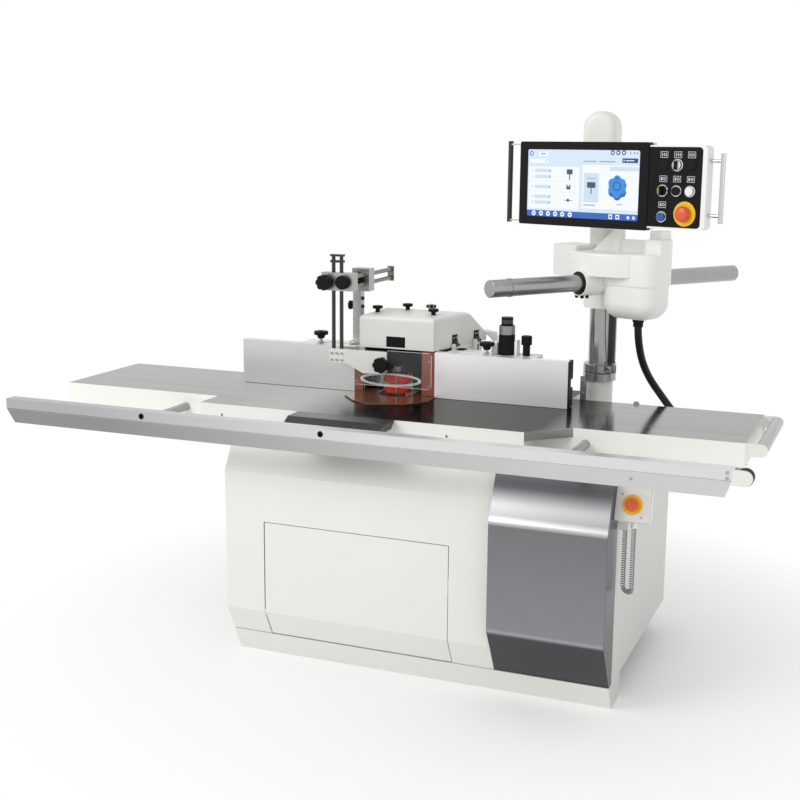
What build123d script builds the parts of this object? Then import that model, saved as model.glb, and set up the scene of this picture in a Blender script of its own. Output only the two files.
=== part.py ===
from build123d import *
import math
import os

# Frame in mm: X along the table, Y from the operator to the rear, Z up.
# The origin is on the floor in the middle of the base.

# Fits
SLIDE_FIT = 0.05
FACE_GAP = 0.3
REST_GAP = 0.1
SHEET = 3.0

# Base cabinet
BASE_WIDTH = 1360.0
BASE_DEPTH = 865.0
DECK_TOP = 800.0
DECK_THICK = 10.0
WALL = 8.0
PLINTH_TOP = 88.0
SKIRT_BOTTOM = 85.0
PLINTH_PROUD = 3.0
FOOT_BACK = -322.0
LOWER_BEND = 187.0
UPPER_BEND = 683.0
UPPER_SLANT = 30.0
BROW_SET = 1.8
PANEL_RIGHT = 294.0
ANCHOR_X = 540.0
ANCHOR_Y = 373.0
ANCHOR_R = 9.0

# Steel cover over the electrics
COVER_LEFT = 296.0
COVER_PROUD = 50.0
COVER_SIDE = 85.0
COVER_LOW_BEND = 262.0
COVER_HIGH_BEND = 624.0
COVER_TOP_SLANT = 25.0
BEND_R = 28.0

# Door in the front panel and its goose-neck hinges
DOOR_LEFT = -527.5
DOOR_RIGHT = 145.5
DOOR_TOP = 510.5
DOOR_GAP = 2.5
HINGE_GAP = 4.0
HINGE_X = -560.0
HINGE_SET = 32.0
HINGE_PIN_R = 4.0
HINGE_HEIGHTS = (240.0, 460.0)
ARM_THICK = 8.0

# Tables
TABLE_TOP = 900.0
TABLE_LEFT = -809.0
TABLE_RIGHT = 373.0
TABLE_FRONT = -472.0
TABLE_REAR = 290.0
TOP_THICK = 32.0
RIB = 16.0
EXT_LEFT_END = -1456.0
EXT_RIGHT_END = 1044.0
EXT_FRONT = -346.0
EXT_REAR = 125.0
EXT_DEPTH = 78.0
CORNER_OUT = 128.0
LIP_X = (-425.0, -71.0)
LIP_FLAT = 78.0
LIP_SLOPE = 70.0
FASCIA_HOLES = (-723.0, 112.0)

# Front support bar
BAR_LEFT = -1466.0
BAR_RIGHT = 1052.0
BAR_LEFT_CUT = 10.0
BAR_RIGHT_CUT = 22.0
BAR_GROOVE = 2.0
BAR_FRONT = -695.0
BAR_TOP_WIDTH = 45.0
BAR_BOTTOM = 808.0
BAR_BEND = 865.0
BAR_WALL = 4.0
ROD_X = (-943.0, 542.0)
ROD_Z = 850.0
ROD_R = 15.0
ROD_REAR = 100.0
BAR_SOCKETS = (-906.0, -236.0)
SOCKET_Z = 883.0
SOCKET_R = 8.0
BAR_ROLLER_X = 1087.0
BAR_ROLLER_Z = 875.0
BAR_ROLLER_R = 25.0
PIN_R = 6.0

# Roller at the end of the right table
END_ROLLER_X = 1090.0
END_ROLLER_Z = 879.0
END_ROLLER_R = 20.0
END_ROLLER_Y = (-333.0, 105.0)

# Spindle unit
SPINDLE_X = -234.0
SPINDLE_Y = -40.0
QUILL_R = 60.0
QUILL_Z = (430.0, 835.0)
SHAFT_R = 20.0
ARBOR_R = 17.5
ARBOR_TOP = 1002.0
CUTTER_R = 55.0
CUTTER_Z = (908.0, 976.0)
CUTTER_KNIVES = 4
GUIDE_R = 15.0
GUIDE_REACH = 80.0
GUIDE_Y = 130.0
MOTOR_X = 110.0
MOTOR_R = 90.0
MOTOR_TOP = 690.0
PULLEY_R = 55.0
PULLEY_Z = (370.0, 425.0)
TABLE_HOLE_R = 100.0
DECK_WELL = 130.0

# Fence
FENCE_FACE = -64.0
FENCE_THICK = 34.0
FENCE_Z = (901.0, 1065.0)
LEFT_FENCE_X = (-859.0, -398.0)
RIGHT_FENCE_X = (-85.0, 404.0)
FENCE_TRAVEL = 100.0
LOCK_X = (-560.0, 91.0)
LOCK_Y = -8.0
LOCK_R = 26.0
STUD_R = 5.0
CARRIAGE_FRONT = -29.5
CARRIAGE_BACK = 90.0
CARRIAGE_TOP = 1060.0
CARRIAGE_LEFT = -640.0
CARRIAGE_RIGHT = 270.0
DIAL_AT = (152.0, 34.0)
DIAL_R = 29.0
DIAL_DRUM = 73.0
DIAL_RING = 105.0
DIAL_CAP = 134.0
DIAL_TEETH = 16
FINE_AT = (225.0, 34.0)
FINE_R = 19.0
FINE_STEM = 40.0
SPIGOT_X = -35.0
SPIGOT_Z = 1036.0
SPIGOT_R = 60.0
SPIGOT_LENGTH = 75.0

# Hood over the cutter
HOOD_LEFT = -379.0
HOOD_RIGHT = -91.0
HOOD_FRONT = -62.0
HOOD_REAR = 293.0
HOOD_FLARE = 80.0
HOOD_Z = (1067.5, 1185.0)
HOOD_SLOPE = (165.0, 1094.0)
HOOD_WINDOW = ((-274.0, -200.0), (1073.0, 1112.0))
HOOD_HINGE_OUT = 9.0
HOOD_HINGE_Z = 1075.0
HOOD_HINGE_AT = (140.0, 290.0)
HOOD_KNOBS = ((-350.0, 38.0), (-272.0, 142.0), (-130.0, 38.0), (-178.0, 142.0))

# Cutter guard
POST_X = (-440.0, -408.0)
POST_Y = (15.0, 47.0)
GUARD_HEAD_Z = (1262.0, 1345.0)
ARM_X = -390.0
ARM_Z = (1290.0, 1322.0)
ARM_R = 8.0
ARM_REAR = 255.0
CLAMP_LEFT = -500.0
CLAMP_Y = (-130.0, -95.0)
CLAMP_Z = (1275.0, 1340.0)
HEIGHT_KNOB_X = -480.0
GUARD_KNOB_Z = 1305.0
GUARD_ROD_X = (-459.0, -428.0)
GUARD_ROD_Y = -112.0
GUARD_ROD_R = 7.0
GUARD_ROD_FOOT = 1016.0
GUARD_ROD_TOP = 1405.0
GUARD_TIES = (1375.0, 1397.0)
GUARD_PLATE_Y = (-127.0, -119.0)
PRESSER_AT = (-256.0, 1021.0)
GUARD_KNOB_R = 28.0

# Column with its foot, clamp rings and rack
COLUMN_X = 450.0
COLUMN_Y = 208.0
COLUMN_R = 42.0
COLUMN_TOP = 1570.0
FOOT_WALL = 7.0
FOOT_TOP = 965.0
RING_WALL = 17.0
RING_HEIGHT = 31.0
RACK_PROUD = 14.0
RACK_WIDTH = 26.0
RACK_TURN = -16.0
RACK_TOP = 1560.0
RACK_PITCH = 6.0
RACK_TEETH = 34

# Feeder tube and the head that carries it, in the head's frame: x along the tube, y away from the operator
HEAD_YAW = 54.9
TUBE_OFFSET = 100.0
TUBE_Z = 1332.0
TUBE_R = 29.0
TUBE_WALL = 5.0
TUBE_SPAN = (-580.0, 550.0)
TUBE_RING = 78.0
DRUM_R = 192.0
DRUM_Z = (1359.0, 1437.0)
DRUM_END = -186.0
DRUM_LEFT = -28.0
DRUM_TAIL = 115.0
UNDER_R = 160.0
UNDER_BOTTOM = 1300.0
BOSS_WALL = 16.0
BOSS_END = -200.0
NECK_WALL = 24.0
NECK_BOTTOM = 1228.0
BRIDGE_R = 80.0
WING_X = (-150.0, -40.0)
WING_Y = (-20.0, 103.0)
WING_Z = (1343.0, 1453.0)
PIVOT_SHOULDER = 1545.0
PIVOT_TOP = 1612.0
GUSSET = 76.0

# Bowl and tower on the right of the head, square to the control panel
BOWL_OUT = (176.0, -154.0)
BOWL_X = (-130.0, 76.0)
BOWL_Y = (-85.0, 85.0)
BOWL_CORNER = 62.0
BOWL_BOTTOM = 1211.0
BOWL_ROUND = 60.0
BOWL_RIM = 1330.0
RIM_STEP = 4.0
TOWER_TOP = 1485.0
TOWER_X = 20.0
TOWER_Y = -30.0
TOWER_WALL = (-120.0, 24.0)
WALL_TOP = 1475.0
TOWER_POST = 1514.0
GLAND_AT = (-14.0, 0.0)

# Mast: a sleeve round the column top under an arched cap
SLEEVE_GAP = 5.0
SLEEVE_WALL = 5.0
CAP_X = (-80.0, 37.0)
CAP_Y = (-58.0, 62.0)
CAP_BOTTOM = 1716.0
CAP_WALL = 10.0
CAP_ROUND = 24.0
MAST_TOP = 1911.0

# Control panel, in its own frame: x to the right of the seam, y to the back, z up
PANEL_AT = (650.0, -60.0, 1663.0)
PANEL_YAW = -20.8
MONITOR_WIDTH = 528.0
MONITOR_HEIGHT = 286.0
MONITOR_DEPTH = 45.0
MONITOR_CORNER = 8.0
SCREEN_X = (-494.0, -35.0)
SCREEN_Z = (-114.0, 116.0)
BOX_WIDTH = 191.0
BOX_HEIGHT = 267.0
BOX_DEPTH = 46.0
BOX_CORNER = 16.0
BOX_ROUND = 12.0
CASE_EDGE = 20.0
GRIP_OUT = (57.0, 44.0)
GRIP_R = (9.0, 8.0)
GRIP_Y = (18.0, 22.0)
GRIP_PLATE = 5.0
GRIP_ARM = 24.0
LEFT_GRIP = (-140.0, 144.0)
RIGHT_GRIP = (-110.0, 110.0)
PIVOT_X = -190.0
PIVOT_Y = 130.0
PIVOT_R = 14.0
LUG_TOP = 1605.0
BUTTON_COLUMNS = (56.0, 107.0, 157.0)
BUTTON_ROWS = (71.0, -11.0, -95.0)
BUTTON_R = 14.0
PANEL_ESTOP = (140.0, -83.0)
ESTOP_R = 26.0
ESTOP_STEM_R = 11.0
PRESS_TRAVEL = 5.0

# Emergency stop box on the right of the base
STOP_BOX_WIDTH = 107.0
STOP_BOX_SET = 62.0
STOP_BOX_Z = 700.0
STOP_BOX_DEPTH = 58.0
STOP_BOX_HEIGHT = 106.0
STOP_BOX_TILT = -18.0

# Curly cord from the stop box to the base
CORD_WIRE_R = 2.1
CORD_COIL_R = 6.15
CORD_CURLS = 60
CORD_LOW = 413.0
CORD_OUT = (56.0, 23.0)
CORD_BACK = 26.0
CORD_TOPS = (634.0, 618.0)

# Hose from the head to the base
HOSE_R = 13.0
HOSE_OUT = 65.0
HOSE_Y = 235.0
HOSE_FOOT = 738.0
HOSE_DROP = 1140.0
HOSE_POINTS = ((624.0, 148.0, 1015.0), (693.0, 208.0, 900.0))
HOSE_LIFT = 88.0

# Places that follow from the sizes
HALF = BASE_WIDTH / 2
DECK_UNDER = DECK_TOP - DECK_THICK
PANEL_BOTTOM = PLINTH_TOP + 2.0
FRONT_FACE = TABLE_FRONT + BROW_SET - (DECK_UNDER - UPPER_BEND) * math.tan(math.radians(UPPER_SLANT))
COVER_REAR = FRONT_FACE + COVER_SIDE
HINGE_Y = FRONT_FACE + HINGE_SET
STOP_BOX_Y = FRONT_FACE + STOP_BOX_SET
CORD_PLAN = ((HALF + CORD_OUT[0], STOP_BOX_Y), (HALF + CORD_OUT[1], STOP_BOX_Y + CORD_BACK))
HOSE_END = (HALF + HOSE_OUT, HOSE_Y, HOSE_FOOT)

DIRECTIONS = {"x": (1, 0, 0), "y": (0, 1, 0), "z": (0, 0, 1)}


# Building blocks
def block(x, y, z):
    """A box between three pairs of low and high values."""
    size = Box(x[1] - x[0], y[1] - y[0], z[1] - z[0])
    return Pos((x[0] + x[1]) / 2, (y[0] + y[1]) / 2, (z[0] + z[1]) / 2) * size


def rod(axis, at, span, radius):
    """A round bar along an axis; `at` gives the other two coordinates in X, Y, Z order."""
    middle = (span[0] + span[1]) / 2
    bar = Cylinder(radius, span[1] - span[0])
    if axis == "x":
        return Pos(middle, at[0], at[1]) * Rot(0, 90, 0) * bar
    if axis == "y":
        return Pos(at[0], middle, at[1]) * Rot(90, 0, 0) * bar
    return Pos(at[0], at[1], middle) * bar


def prism(axis, outline, span):
    """A straight-sided outline drawn across an axis and carried along it."""
    low = span[0]
    place = {
        "x": lambda a, b: (low, a, b),
        "y": lambda a, b: (a, low, b),
        "z": lambda a, b: (a, b, low),
    }[axis]
    face = make_face(Polyline(*[place(a, b) for a, b in outline], close=True))
    return extrude(face, amount=span[1] - low, dir=DIRECTIONS[axis])


def edges_at(solid, axis, points, tolerance=0.5):
    """Edges along an axis that pass through the given points of the plane across it."""
    others = [name for name in "XYZ" if name.lower() != axis]
    wanted = []
    for edge in solid.edges().filter_by(getattr(Axis, axis.upper())):
        centre = edge.center()
        here = [getattr(centre, name) for name in others]
        if any(math.dist(here, point) < tolerance for point in points):
            wanted.append(edge)
    return wanted


def grip_knob(radius, height, lobes=7):
    """A plastic knob with finger scallops, standing on Z = 0."""
    body = Pos(0, 0, height / 2) * Cylinder(radius, height)
    scallop = radius * 0.28
    for index in range(lobes):
        turn = Rot(0, 0, 360 / lobes * index)
        body -= turn * Pos(radius * 1.16, 0, height / 2) * Cylinder(scallop, height)
    return chamfer(body.faces().sort_by(Axis.Z)[-1].edges(), height * 0.08)


def front_at(z):
    """Y of the white front at a height."""
    toe = -BASE_DEPTH / 2
    if z < LOWER_BEND:
        return toe + (FRONT_FACE - toe) * z / LOWER_BEND
    if z <= UPPER_BEND:
        return FRONT_FACE
    return FRONT_FACE + (z - UPPER_BEND) * math.tan(math.radians(UPPER_SLANT))


def front_profile(low, high):
    """Outline points of the white front between two heights."""
    bends = [z for z in (LOWER_BEND, UPPER_BEND) if low < z < high]
    return [(front_at(z), z) for z in [low, *bends, high]]


def sheet_outline(points, thick):
    """Closed outline of a folded sheet whose outer side is given."""
    return points + [(y + thick, z) for y, z in reversed(points)]


# Base
def side_wall(x, front):
    """One upright wall of the base; `front` is its front outline from the plinth up."""
    outline = front + [(BASE_DEPTH / 2, DECK_UNDER), (BASE_DEPTH / 2, SKIRT_BOTTOM)]
    outline += [(FOOT_BACK, SKIRT_BOTTOM), (FOOT_BACK, PLINTH_TOP)]
    return prism("x", outline, x)


def base_cabinet():
    """Welded base: plinth, feet, side walls, rear wall, divider and deck."""
    toe = -BASE_DEPTH / 2
    under = PLINTH_TOP - WALL
    face = [(toe - PLINTH_PROUD, 0), (front_at(PLINTH_TOP) - PLINTH_PROUD, PLINTH_TOP), (FOOT_BACK, PLINTH_TOP)]
    channel = [*face, (FOOT_BACK, under), (front_at(under) + WALL, under), (toe + WALL, 0)]
    body = prism("x", channel, (-HALF, HALF))
    end_plate = [*face, (FOOT_BACK, 0)]
    inner_front = [(y + SHEET, z) for y, z in front_profile(PLINTH_TOP, DECK_UNDER)]
    body += side_wall((-HALF, -HALF + WALL), inner_front)
    body += side_wall((PANEL_RIGHT - WALL, PANEL_RIGHT - 2), inner_front)
    body += side_wall((HALF - WALL, HALF), [(COVER_REAR, PLINTH_TOP), (COVER_REAR, DECK_UNDER)])
    rear = BASE_DEPTH / 2
    body += block((-HALF, HALF), (rear - WALL, rear), (SKIRT_BOTTOM, DECK_UNDER))
    body += block((-HALF + WALL, HALF - WALL), (ANCHOR_Y - 50, rear), (SKIRT_BOTTOM, SKIRT_BOTTOM + WALL))
    for side in (-1, 1):
        x = sorted((side * (HALF - WALL), side * HALF))
        body += prism("x", end_plate, x)
        pad = sorted((side * (ANCHOR_X - 60), side * (ANCHOR_X + 60)))
        body += block(pad, (toe + 2, FOOT_BACK), (0, 12))
        body += block(pad, (ANCHOR_Y - 50, rear - WALL), (0, SKIRT_BOTTOM))
    body += block((-HALF, HALF), (front_at(DECK_UNDER), rear), (DECK_UNDER, DECK_TOP))
    well = ((SPINDLE_X - DECK_WELL, SPINDLE_X + DECK_WELL), (SPINDLE_Y - DECK_WELL, SPINDLE_Y + DECK_WELL))
    body -= block(*well, (DECK_UNDER - 1, DECK_TOP + 1))
    for side in (-1, 1):
        for y in (-ANCHOR_Y, ANCHOR_Y):
            body -= rod("z", (side * ANCHOR_X, y), (-1, SKIRT_BOTTOM + WALL + 1), ANCHOR_R)
    for index in range(6):
        z = 430 + 26 * index
        body -= block((-150, 150), (rear - WALL - 1, rear + 1), (z, z + 8))
    return body


def front_panel():
    """Folded white front with the door opening and two hinge pins behind its left edge."""
    outline = sheet_outline(front_profile(PANEL_BOTTOM, DECK_UNDER), SHEET)
    body = prism("x", outline, (-HALF, PANEL_RIGHT))
    body -= block((DOOR_LEFT - HINGE_GAP, DOOR_RIGHT + DOOR_GAP), (FRONT_FACE - 1, 0), (0, DOOR_TOP + DOOR_GAP))
    for z in HINGE_HEIGHTS:
        lug = block((HINGE_X - 12, HINGE_X + 12), (FRONT_FACE + SHEET, HINGE_Y + 12), (z - 12, z - FACE_GAP))
        body += lug
        body += rod("z", (HINGE_X, HINGE_Y), (z - 1, z + ARM_THICK + 3), HINGE_PIN_R)
    return body


def front_door():
    """Folded door with a stiffening frame behind and two goose-neck arms."""
    bottom = PANEL_BOTTOM + 2
    outline = sheet_outline(front_profile(bottom, DOOR_TOP), SHEET)
    body = prism("x", outline, (DOOR_LEFT, DOOR_RIGHT))
    inside = FRONT_FACE + SHEET
    for x in ((-440.0, -425.0), (40.0, 55.0)):
        body += block(x, (inside, inside + 15), (LOWER_BEND + 20, DOOR_TOP - 20))
    for z in (LOWER_BEND + 20, DOOR_TOP - 35):
        body += block((-440.0, 55.0), (inside, inside + 15), (z, z + 15))
    reach = 60.0
    deep = 46.0
    for z in HINGE_HEIGHTS:
        span = (z, z + ARM_THICK)
        arm = rod("z", (HINGE_X, HINGE_Y), span, 10)
        arm += block((HINGE_X - 6, HINGE_X + 6), (HINGE_Y, HINGE_Y + deep), span)
        arm += block((HINGE_X - 6, HINGE_X + reach), (HINGE_Y + deep - 12, HINGE_Y + deep), span)
        arm += block((HINGE_X + reach - 12, HINGE_X + reach), (inside, HINGE_Y + deep), span)
        arm += block((HINGE_X + reach - 12, -425.0), (inside, inside + 6), (z - 6, z + ARM_THICK + 6))
        body += arm - rod("z", (HINGE_X, HINGE_Y), (z - 1, z + ARM_THICK + 1), HINGE_PIN_R + SLIDE_FIT)
    return body


def steel_cover():
    """Bright folded cover that wraps the right front corner, open at the back."""
    face = FRONT_FACE - COVER_PROUD
    low = PANEL_BOTTOM
    toe = front_at(low)
    brow = face + (DECK_UNDER - COVER_HIGH_BEND) * math.tan(math.radians(COVER_TOP_SLANT))
    outline = [(toe, low), (face, COVER_LOW_BEND), (face, COVER_HIGH_BEND), (brow, DECK_UNDER)]
    body = prism("x", outline + [(COVER_REAR, DECK_UNDER), (COVER_REAR, low)], (COVER_LEFT, HALF))
    bends = [(face, COVER_LOW_BEND), (face, COVER_HIGH_BEND)]
    body = fillet(edges_at(body, "x", bends), BEND_R)
    hollow = [(y + SHEET * 1.15, min(max(z, low + SHEET), DECK_UNDER - SHEET)) for y, z in outline]
    inner = prism("x", hollow + [(0, DECK_UNDER - SHEET), (0, low + SHEET)], (COVER_LEFT + SHEET, HALF - SHEET))
    inner_bends = [hollow[1], hollow[2]]
    return body - fillet(edges_at(inner, "x", inner_bends), BEND_R - SHEET)


# Tables
def ribbed_table(x, y, z, columns, rows):
    """A cast table with a thick top, skirts and ribs; columns and rows list the rib positions."""
    body = block(x, y, z)
    xs = [x[0] + RIB / 2, *columns, x[1] - RIB / 2]
    ys = [y[0] + RIB / 2, *rows, y[1] - RIB / 2]
    for x0, x1 in zip(xs, xs[1:]):
        for y0, y1 in zip(ys, ys[1:]):
            pocket = ((x0 + RIB / 2, x1 - RIB / 2), (y0 + RIB / 2, y1 - RIB / 2))
            body -= block(pocket[0], pocket[1], (z[0] - 1, z[1] - TOP_THICK))
    return body


def centre_table():
    """Main table with the spindle opening and the angled web at its right front corner."""
    well = TABLE_HOLE_R + 28
    near = (SPINDLE_X - well, SPINDLE_X + well)
    columns = ((TABLE_LEFT + near[0]) / 2, *near, (TABLE_RIGHT + near[1]) / 2)
    rows = ((TABLE_FRONT + SPINDLE_Y - well) / 2, SPINDLE_Y - well, SPINDLE_Y + well)
    span = (DECK_TOP, TABLE_TOP)
    body = ribbed_table((TABLE_LEFT, TABLE_RIGHT), (TABLE_FRONT, TABLE_REAR), span, columns, rows)
    web = [(TABLE_RIGHT, TABLE_FRONT), (TABLE_RIGHT + CORNER_OUT, EXT_FRONT), (TABLE_RIGHT, EXT_FRONT)]
    body += prism("z", web, (TABLE_TOP - 30, TABLE_TOP))
    body -= rod("z", (SPINDLE_X, SPINDLE_Y), (DECK_TOP, TABLE_TOP + 1), TABLE_HOLE_R)
    for x in FASCIA_HOLES:
        body -= rod("y", (x, 862.0), (TABLE_FRONT - 1, TABLE_FRONT + 14), 4.5)
    return body


def extension(x, rod_x):
    """An extension table bored for one bar rod."""
    z = (TABLE_TOP - EXT_DEPTH, TABLE_TOP)
    third = (x[1] - x[0]) / 3
    body = ribbed_table(x, (EXT_FRONT, EXT_REAR), z, (x[0] + third, x[1] - third), (-142.0,))
    return body - rod("y", (rod_x, ROD_Z), (EXT_FRONT - 1, EXT_REAR + 1), ROD_R + SLIDE_FIT)


def left_extension():
    return extension((EXT_LEFT_END, TABLE_LEFT), ROD_X[0])


def right_extension():
    return extension((TABLE_RIGHT, EXT_RIGHT_END), ROD_X[1])


def front_lip():
    """Plate that carries the work up to the table edge, with bevelled ends."""
    tip = TABLE_FRONT - LIP_FLAT - LIP_SLOPE
    under = TABLE_TOP - TOP_THICK
    outline = [(TABLE_FRONT, TABLE_TOP), (TABLE_FRONT - LIP_FLAT, TABLE_TOP), (tip, under + 8)]
    body = prism("x", outline + [(tip, under), (TABLE_FRONT, under)], LIP_X)
    low = under - 1
    for end, out in ((LIP_X[0], -1), (LIP_X[1], 1)):
        wedge = [(end + out, TABLE_TOP + 1), (end + out, low), (end - out * 13, low), (end, TABLE_TOP + 1)]
        body -= prism("y", wedge, (tip - 1, TABLE_FRONT))
    return body


# Front bar
BAR_BACK = BAR_FRONT + BAR_TOP_WIDTH
BAR_FOOT = BAR_BACK - 15.0


def bar_outline(inset):
    """Section of the front bar, drawn inside its outer faces by an inset."""
    slope = (BAR_FOOT - BAR_FRONT) / (BAR_BEND - BAR_BOTTOM)
    knee = BAR_BEND - inset * 0.3
    foot = BAR_FRONT + inset + (knee - BAR_BOTTOM - inset) * slope
    front = BAR_FRONT + inset
    back = BAR_BACK - inset
    top = TABLE_TOP - inset
    low = BAR_BOTTOM + inset
    return [(front, top), (back, top), (back, low), (foot, low), (front, knee)]


def front_bar():
    """Hollow drawn bar across the whole machine, undercut at its ends, with a grooved knee and two sockets."""
    body = prism("x", bar_outline(0), (BAR_LEFT, BAR_RIGHT))
    inner = (BAR_LEFT + BAR_LEFT_CUT + BAR_WALL, BAR_RIGHT - BAR_RIGHT_CUT - BAR_WALL)
    body -= prism("x", bar_outline(BAR_WALL), inner)
    deep = (BAR_FRONT - 1, BAR_BACK + 1)
    for end, inward in ((BAR_LEFT, BAR_LEFT_CUT), (BAR_RIGHT, -BAR_RIGHT_CUT)):
        out = end - math.copysign(1, inward)
        low = BAR_BOTTOM - 1
        body -= prism("y", [(end, BAR_BEND), (end + inward, low), (out, low), (out, BAR_BEND)], deep)
    groove = [(BAR_FRONT - 1, BAR_BEND - BAR_GROOVE), (BAR_FRONT + BAR_GROOVE, BAR_BEND)]
    body -= prism("x", [*groove, (BAR_FRONT - 1, BAR_BEND + BAR_GROOVE)], (BAR_LEFT - 1, BAR_RIGHT + 1))
    for x in ROD_X:
        body -= rod("y", (x, ROD_Z), (BAR_BACK - BAR_WALL - 1, BAR_BACK + 1), ROD_R)
    for x in BAR_SOCKETS:
        body -= rod("y", (x, SOCKET_Z), (BAR_FRONT - 1, BAR_FRONT + BAR_WALL + 1), SOCKET_R)
    return body


def bar_rods():
    return [rod("y", (x, ROD_Z), (BAR_BACK - 20, ROD_REAR), ROD_R) for x in ROD_X]


def bar_end_bracket():
    """Forked bracket on the right end of the bar with the roller pin."""
    roller = (BAR_ROLLER_X, BAR_ROLLER_Z)
    end = BAR_RIGHT
    body = block((end, end + 6), (BAR_FRONT, BAR_BACK), (BAR_BEND, TABLE_TOP))
    cheek_r = BAR_ROLLER_R - 2
    for y in ((BAR_FRONT, BAR_FRONT + 8), (BAR_BACK - 8, BAR_BACK)):
        body += block((end, BAR_ROLLER_X), y, (BAR_ROLLER_Z - cheek_r, BAR_ROLLER_Z + cheek_r))
        body += rod("y", roller, y, cheek_r)
    return body + rod("y", roller, (BAR_FRONT + 1, BAR_BACK - 1), PIN_R)


def bar_roller():
    roller = (BAR_ROLLER_X, BAR_ROLLER_Z)
    span = (BAR_FRONT + 8 + FACE_GAP, BAR_BACK - 8 - FACE_GAP)
    hole = rod("y", roller, (span[0] - 1, span[1] + 1), PIN_R + SLIDE_FIT)
    return rod("y", roller, span, BAR_ROLLER_R) - hole


def end_roller():
    axis = (END_ROLLER_X, END_ROLLER_Z)
    low, high = END_ROLLER_Y
    body = rod("y", axis, END_ROLLER_Y, END_ROLLER_R)
    return body - rod("y", axis, (low - 1, high + 1), PIN_R + SLIDE_FIT)


def end_roller_brackets():
    """Two rounded brackets on the right table end, each with a stub pin for the roller."""
    axis = (END_ROLLER_X, END_ROLLER_Z)
    low, high = END_ROLLER_Y
    brackets = []
    ends = ((low - 10.5, low - 0.5), (high + 0.5, high + 10.5))
    for y, pin in zip(ends, ((low - 1, low + 30), (high - 30, high + 1))):
        body = block((EXT_RIGHT_END, END_ROLLER_X), y, (END_ROLLER_Z - 20, END_ROLLER_Z + 20))
        body += rod("y", axis, y, 20)
        foot = (EXT_RIGHT_END, EXT_RIGHT_END + 8)
        body += block(foot, (y[0] - 0.5, y[1] + 0.5), (END_ROLLER_Z - 50, END_ROLLER_Z + 20))
        brackets.append(body + rod("y", axis, pin, PIN_R))
    return brackets


# Spindle unit
def guide_places():
    return [(SPINDLE_X + side * GUIDE_REACH, GUIDE_Y) for side in (-1, 1)]


def lift_frame():
    """Two guide rods between a flange under the deck and a tie plate."""
    wide = (SPINDLE_X - GUIDE_REACH - 30, SPINDLE_X + GUIDE_REACH + 30)
    deep = (GUIDE_Y - 26, GUIDE_Y + 26)
    body = block(wide, deep, (DECK_UNDER - 12, DECK_UNDER)) + block(wide, deep, (270, 285))
    for place in guide_places():
        body += rod("z", place, (280, DECK_UNDER - 5), GUIDE_R)
    return body


def spindle_quill():
    """Bearing housing with its slide block and the motor plate."""
    axis = (SPINDLE_X, SPINDLE_Y)
    body = rod("z", axis, QUILL_Z, QUILL_R)
    slide = (QUILL_Z[0] + 90, QUILL_Z[0] + 240)
    wide = (SPINDLE_X - GUIDE_REACH - 30, SPINDLE_X + GUIDE_REACH + 30)
    body += block(wide, (SPINDLE_Y + 20, GUIDE_Y + 28), slide)
    plate = (SPINDLE_X - 50, MOTOR_X + MOTOR_R)
    body += block(plate, (SPINDLE_Y - 65, SPINDLE_Y + 65), (QUILL_Z[0], QUILL_Z[0] + 18))
    body -= rod("z", axis, (QUILL_Z[0] - 1, QUILL_Z[1] + 1), SHAFT_R + SLIDE_FIT)
    body -= rod("z", axis, (QUILL_Z[0] + 40, QUILL_Z[1] - 40), SHAFT_R + 8)
    body -= rod("z", (MOTOR_X, SPINDLE_Y), (QUILL_Z[0] - 1, QUILL_Z[0] + 19), 16)
    for place in guide_places():
        body -= rod("z", place, (slide[0] - 1, slide[1] + 1), GUIDE_R + SLIDE_FIT)
    return body


def spindle_shaft():
    """Shaft, lower pulley, cutter arbor, spacer and top nut, turned as one."""
    axis = (SPINDLE_X, SPINDLE_Y)
    body = rod("z", axis, (PULLEY_Z[0], QUILL_Z[1] + 30), SHAFT_R)
    body += rod("z", axis, PULLEY_Z, PULLEY_R)
    body += rod("z", axis, (QUILL_Z[1] + FACE_GAP, CUTTER_Z[0]), SHAFT_R + 6)
    body += rod("z", axis, (QUILL_Z[1], ARBOR_TOP), ARBOR_R)
    nut = Pos(SPINDLE_X, SPINDLE_Y, CUTTER_Z[1]) * extrude(RegularPolygon(26, 6), 15)
    return body + nut


def cutter_head():
    """Round cutter block with upright gullets and a knife in each."""
    span = CUTTER_Z
    middle = (span[0] + span[1]) / 2
    body = Pos(0, 0, middle) * Cylinder(CUTTER_R - 4, span[1] - span[0])
    for index in range(CUTTER_KNIVES):
        turn = Rot(0, 0, 360 / CUTTER_KNIVES * index + 20)
        body -= turn * Pos(CUTTER_R - 8, 0, middle) * Box(18, 16, span[1] - span[0] + 2)
        body += turn * Pos(CUTTER_R - 11, -6, middle) * Box(20, 4, span[1] - span[0] - 4)
    body -= Pos(0, 0, middle) * Cylinder(ARBOR_R, span[1] - span[0] + 2)
    return Pos(SPINDLE_X, SPINDLE_Y, 0) * body


def drive_motor():
    """Flanged motor body with cooling fins."""
    axis = (MOTOR_X, SPINDLE_Y)
    low = QUILL_Z[0] + 18
    body = rod("z", axis, (low, MOTOR_TOP), MOTOR_R - 12)
    body += rod("z", axis, (low, low + 15), MOTOR_R - 2)
    body += rod("z", axis, (MOTOR_TOP - 55, MOTOR_TOP), MOTOR_R - 4)
    for index in range(18):
        fin = block((MOTOR_R - 15, MOTOR_R - 4), (-1.5, 1.5), (low + 10, MOTOR_TOP - 50))
        body += Pos(MOTOR_X, SPINDLE_Y, 0) * Rot(0, 0, 20 * index) * fin
    return body - rod("z", axis, (low - 1, low + 60), 14 + SLIDE_FIT)


def motor_pulley():
    axis = (MOTOR_X, SPINDLE_Y)
    return rod("z", axis, PULLEY_Z, PULLEY_R) + rod("z", axis, (PULLEY_Z[0], QUILL_Z[0] + 70), 14)


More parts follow.
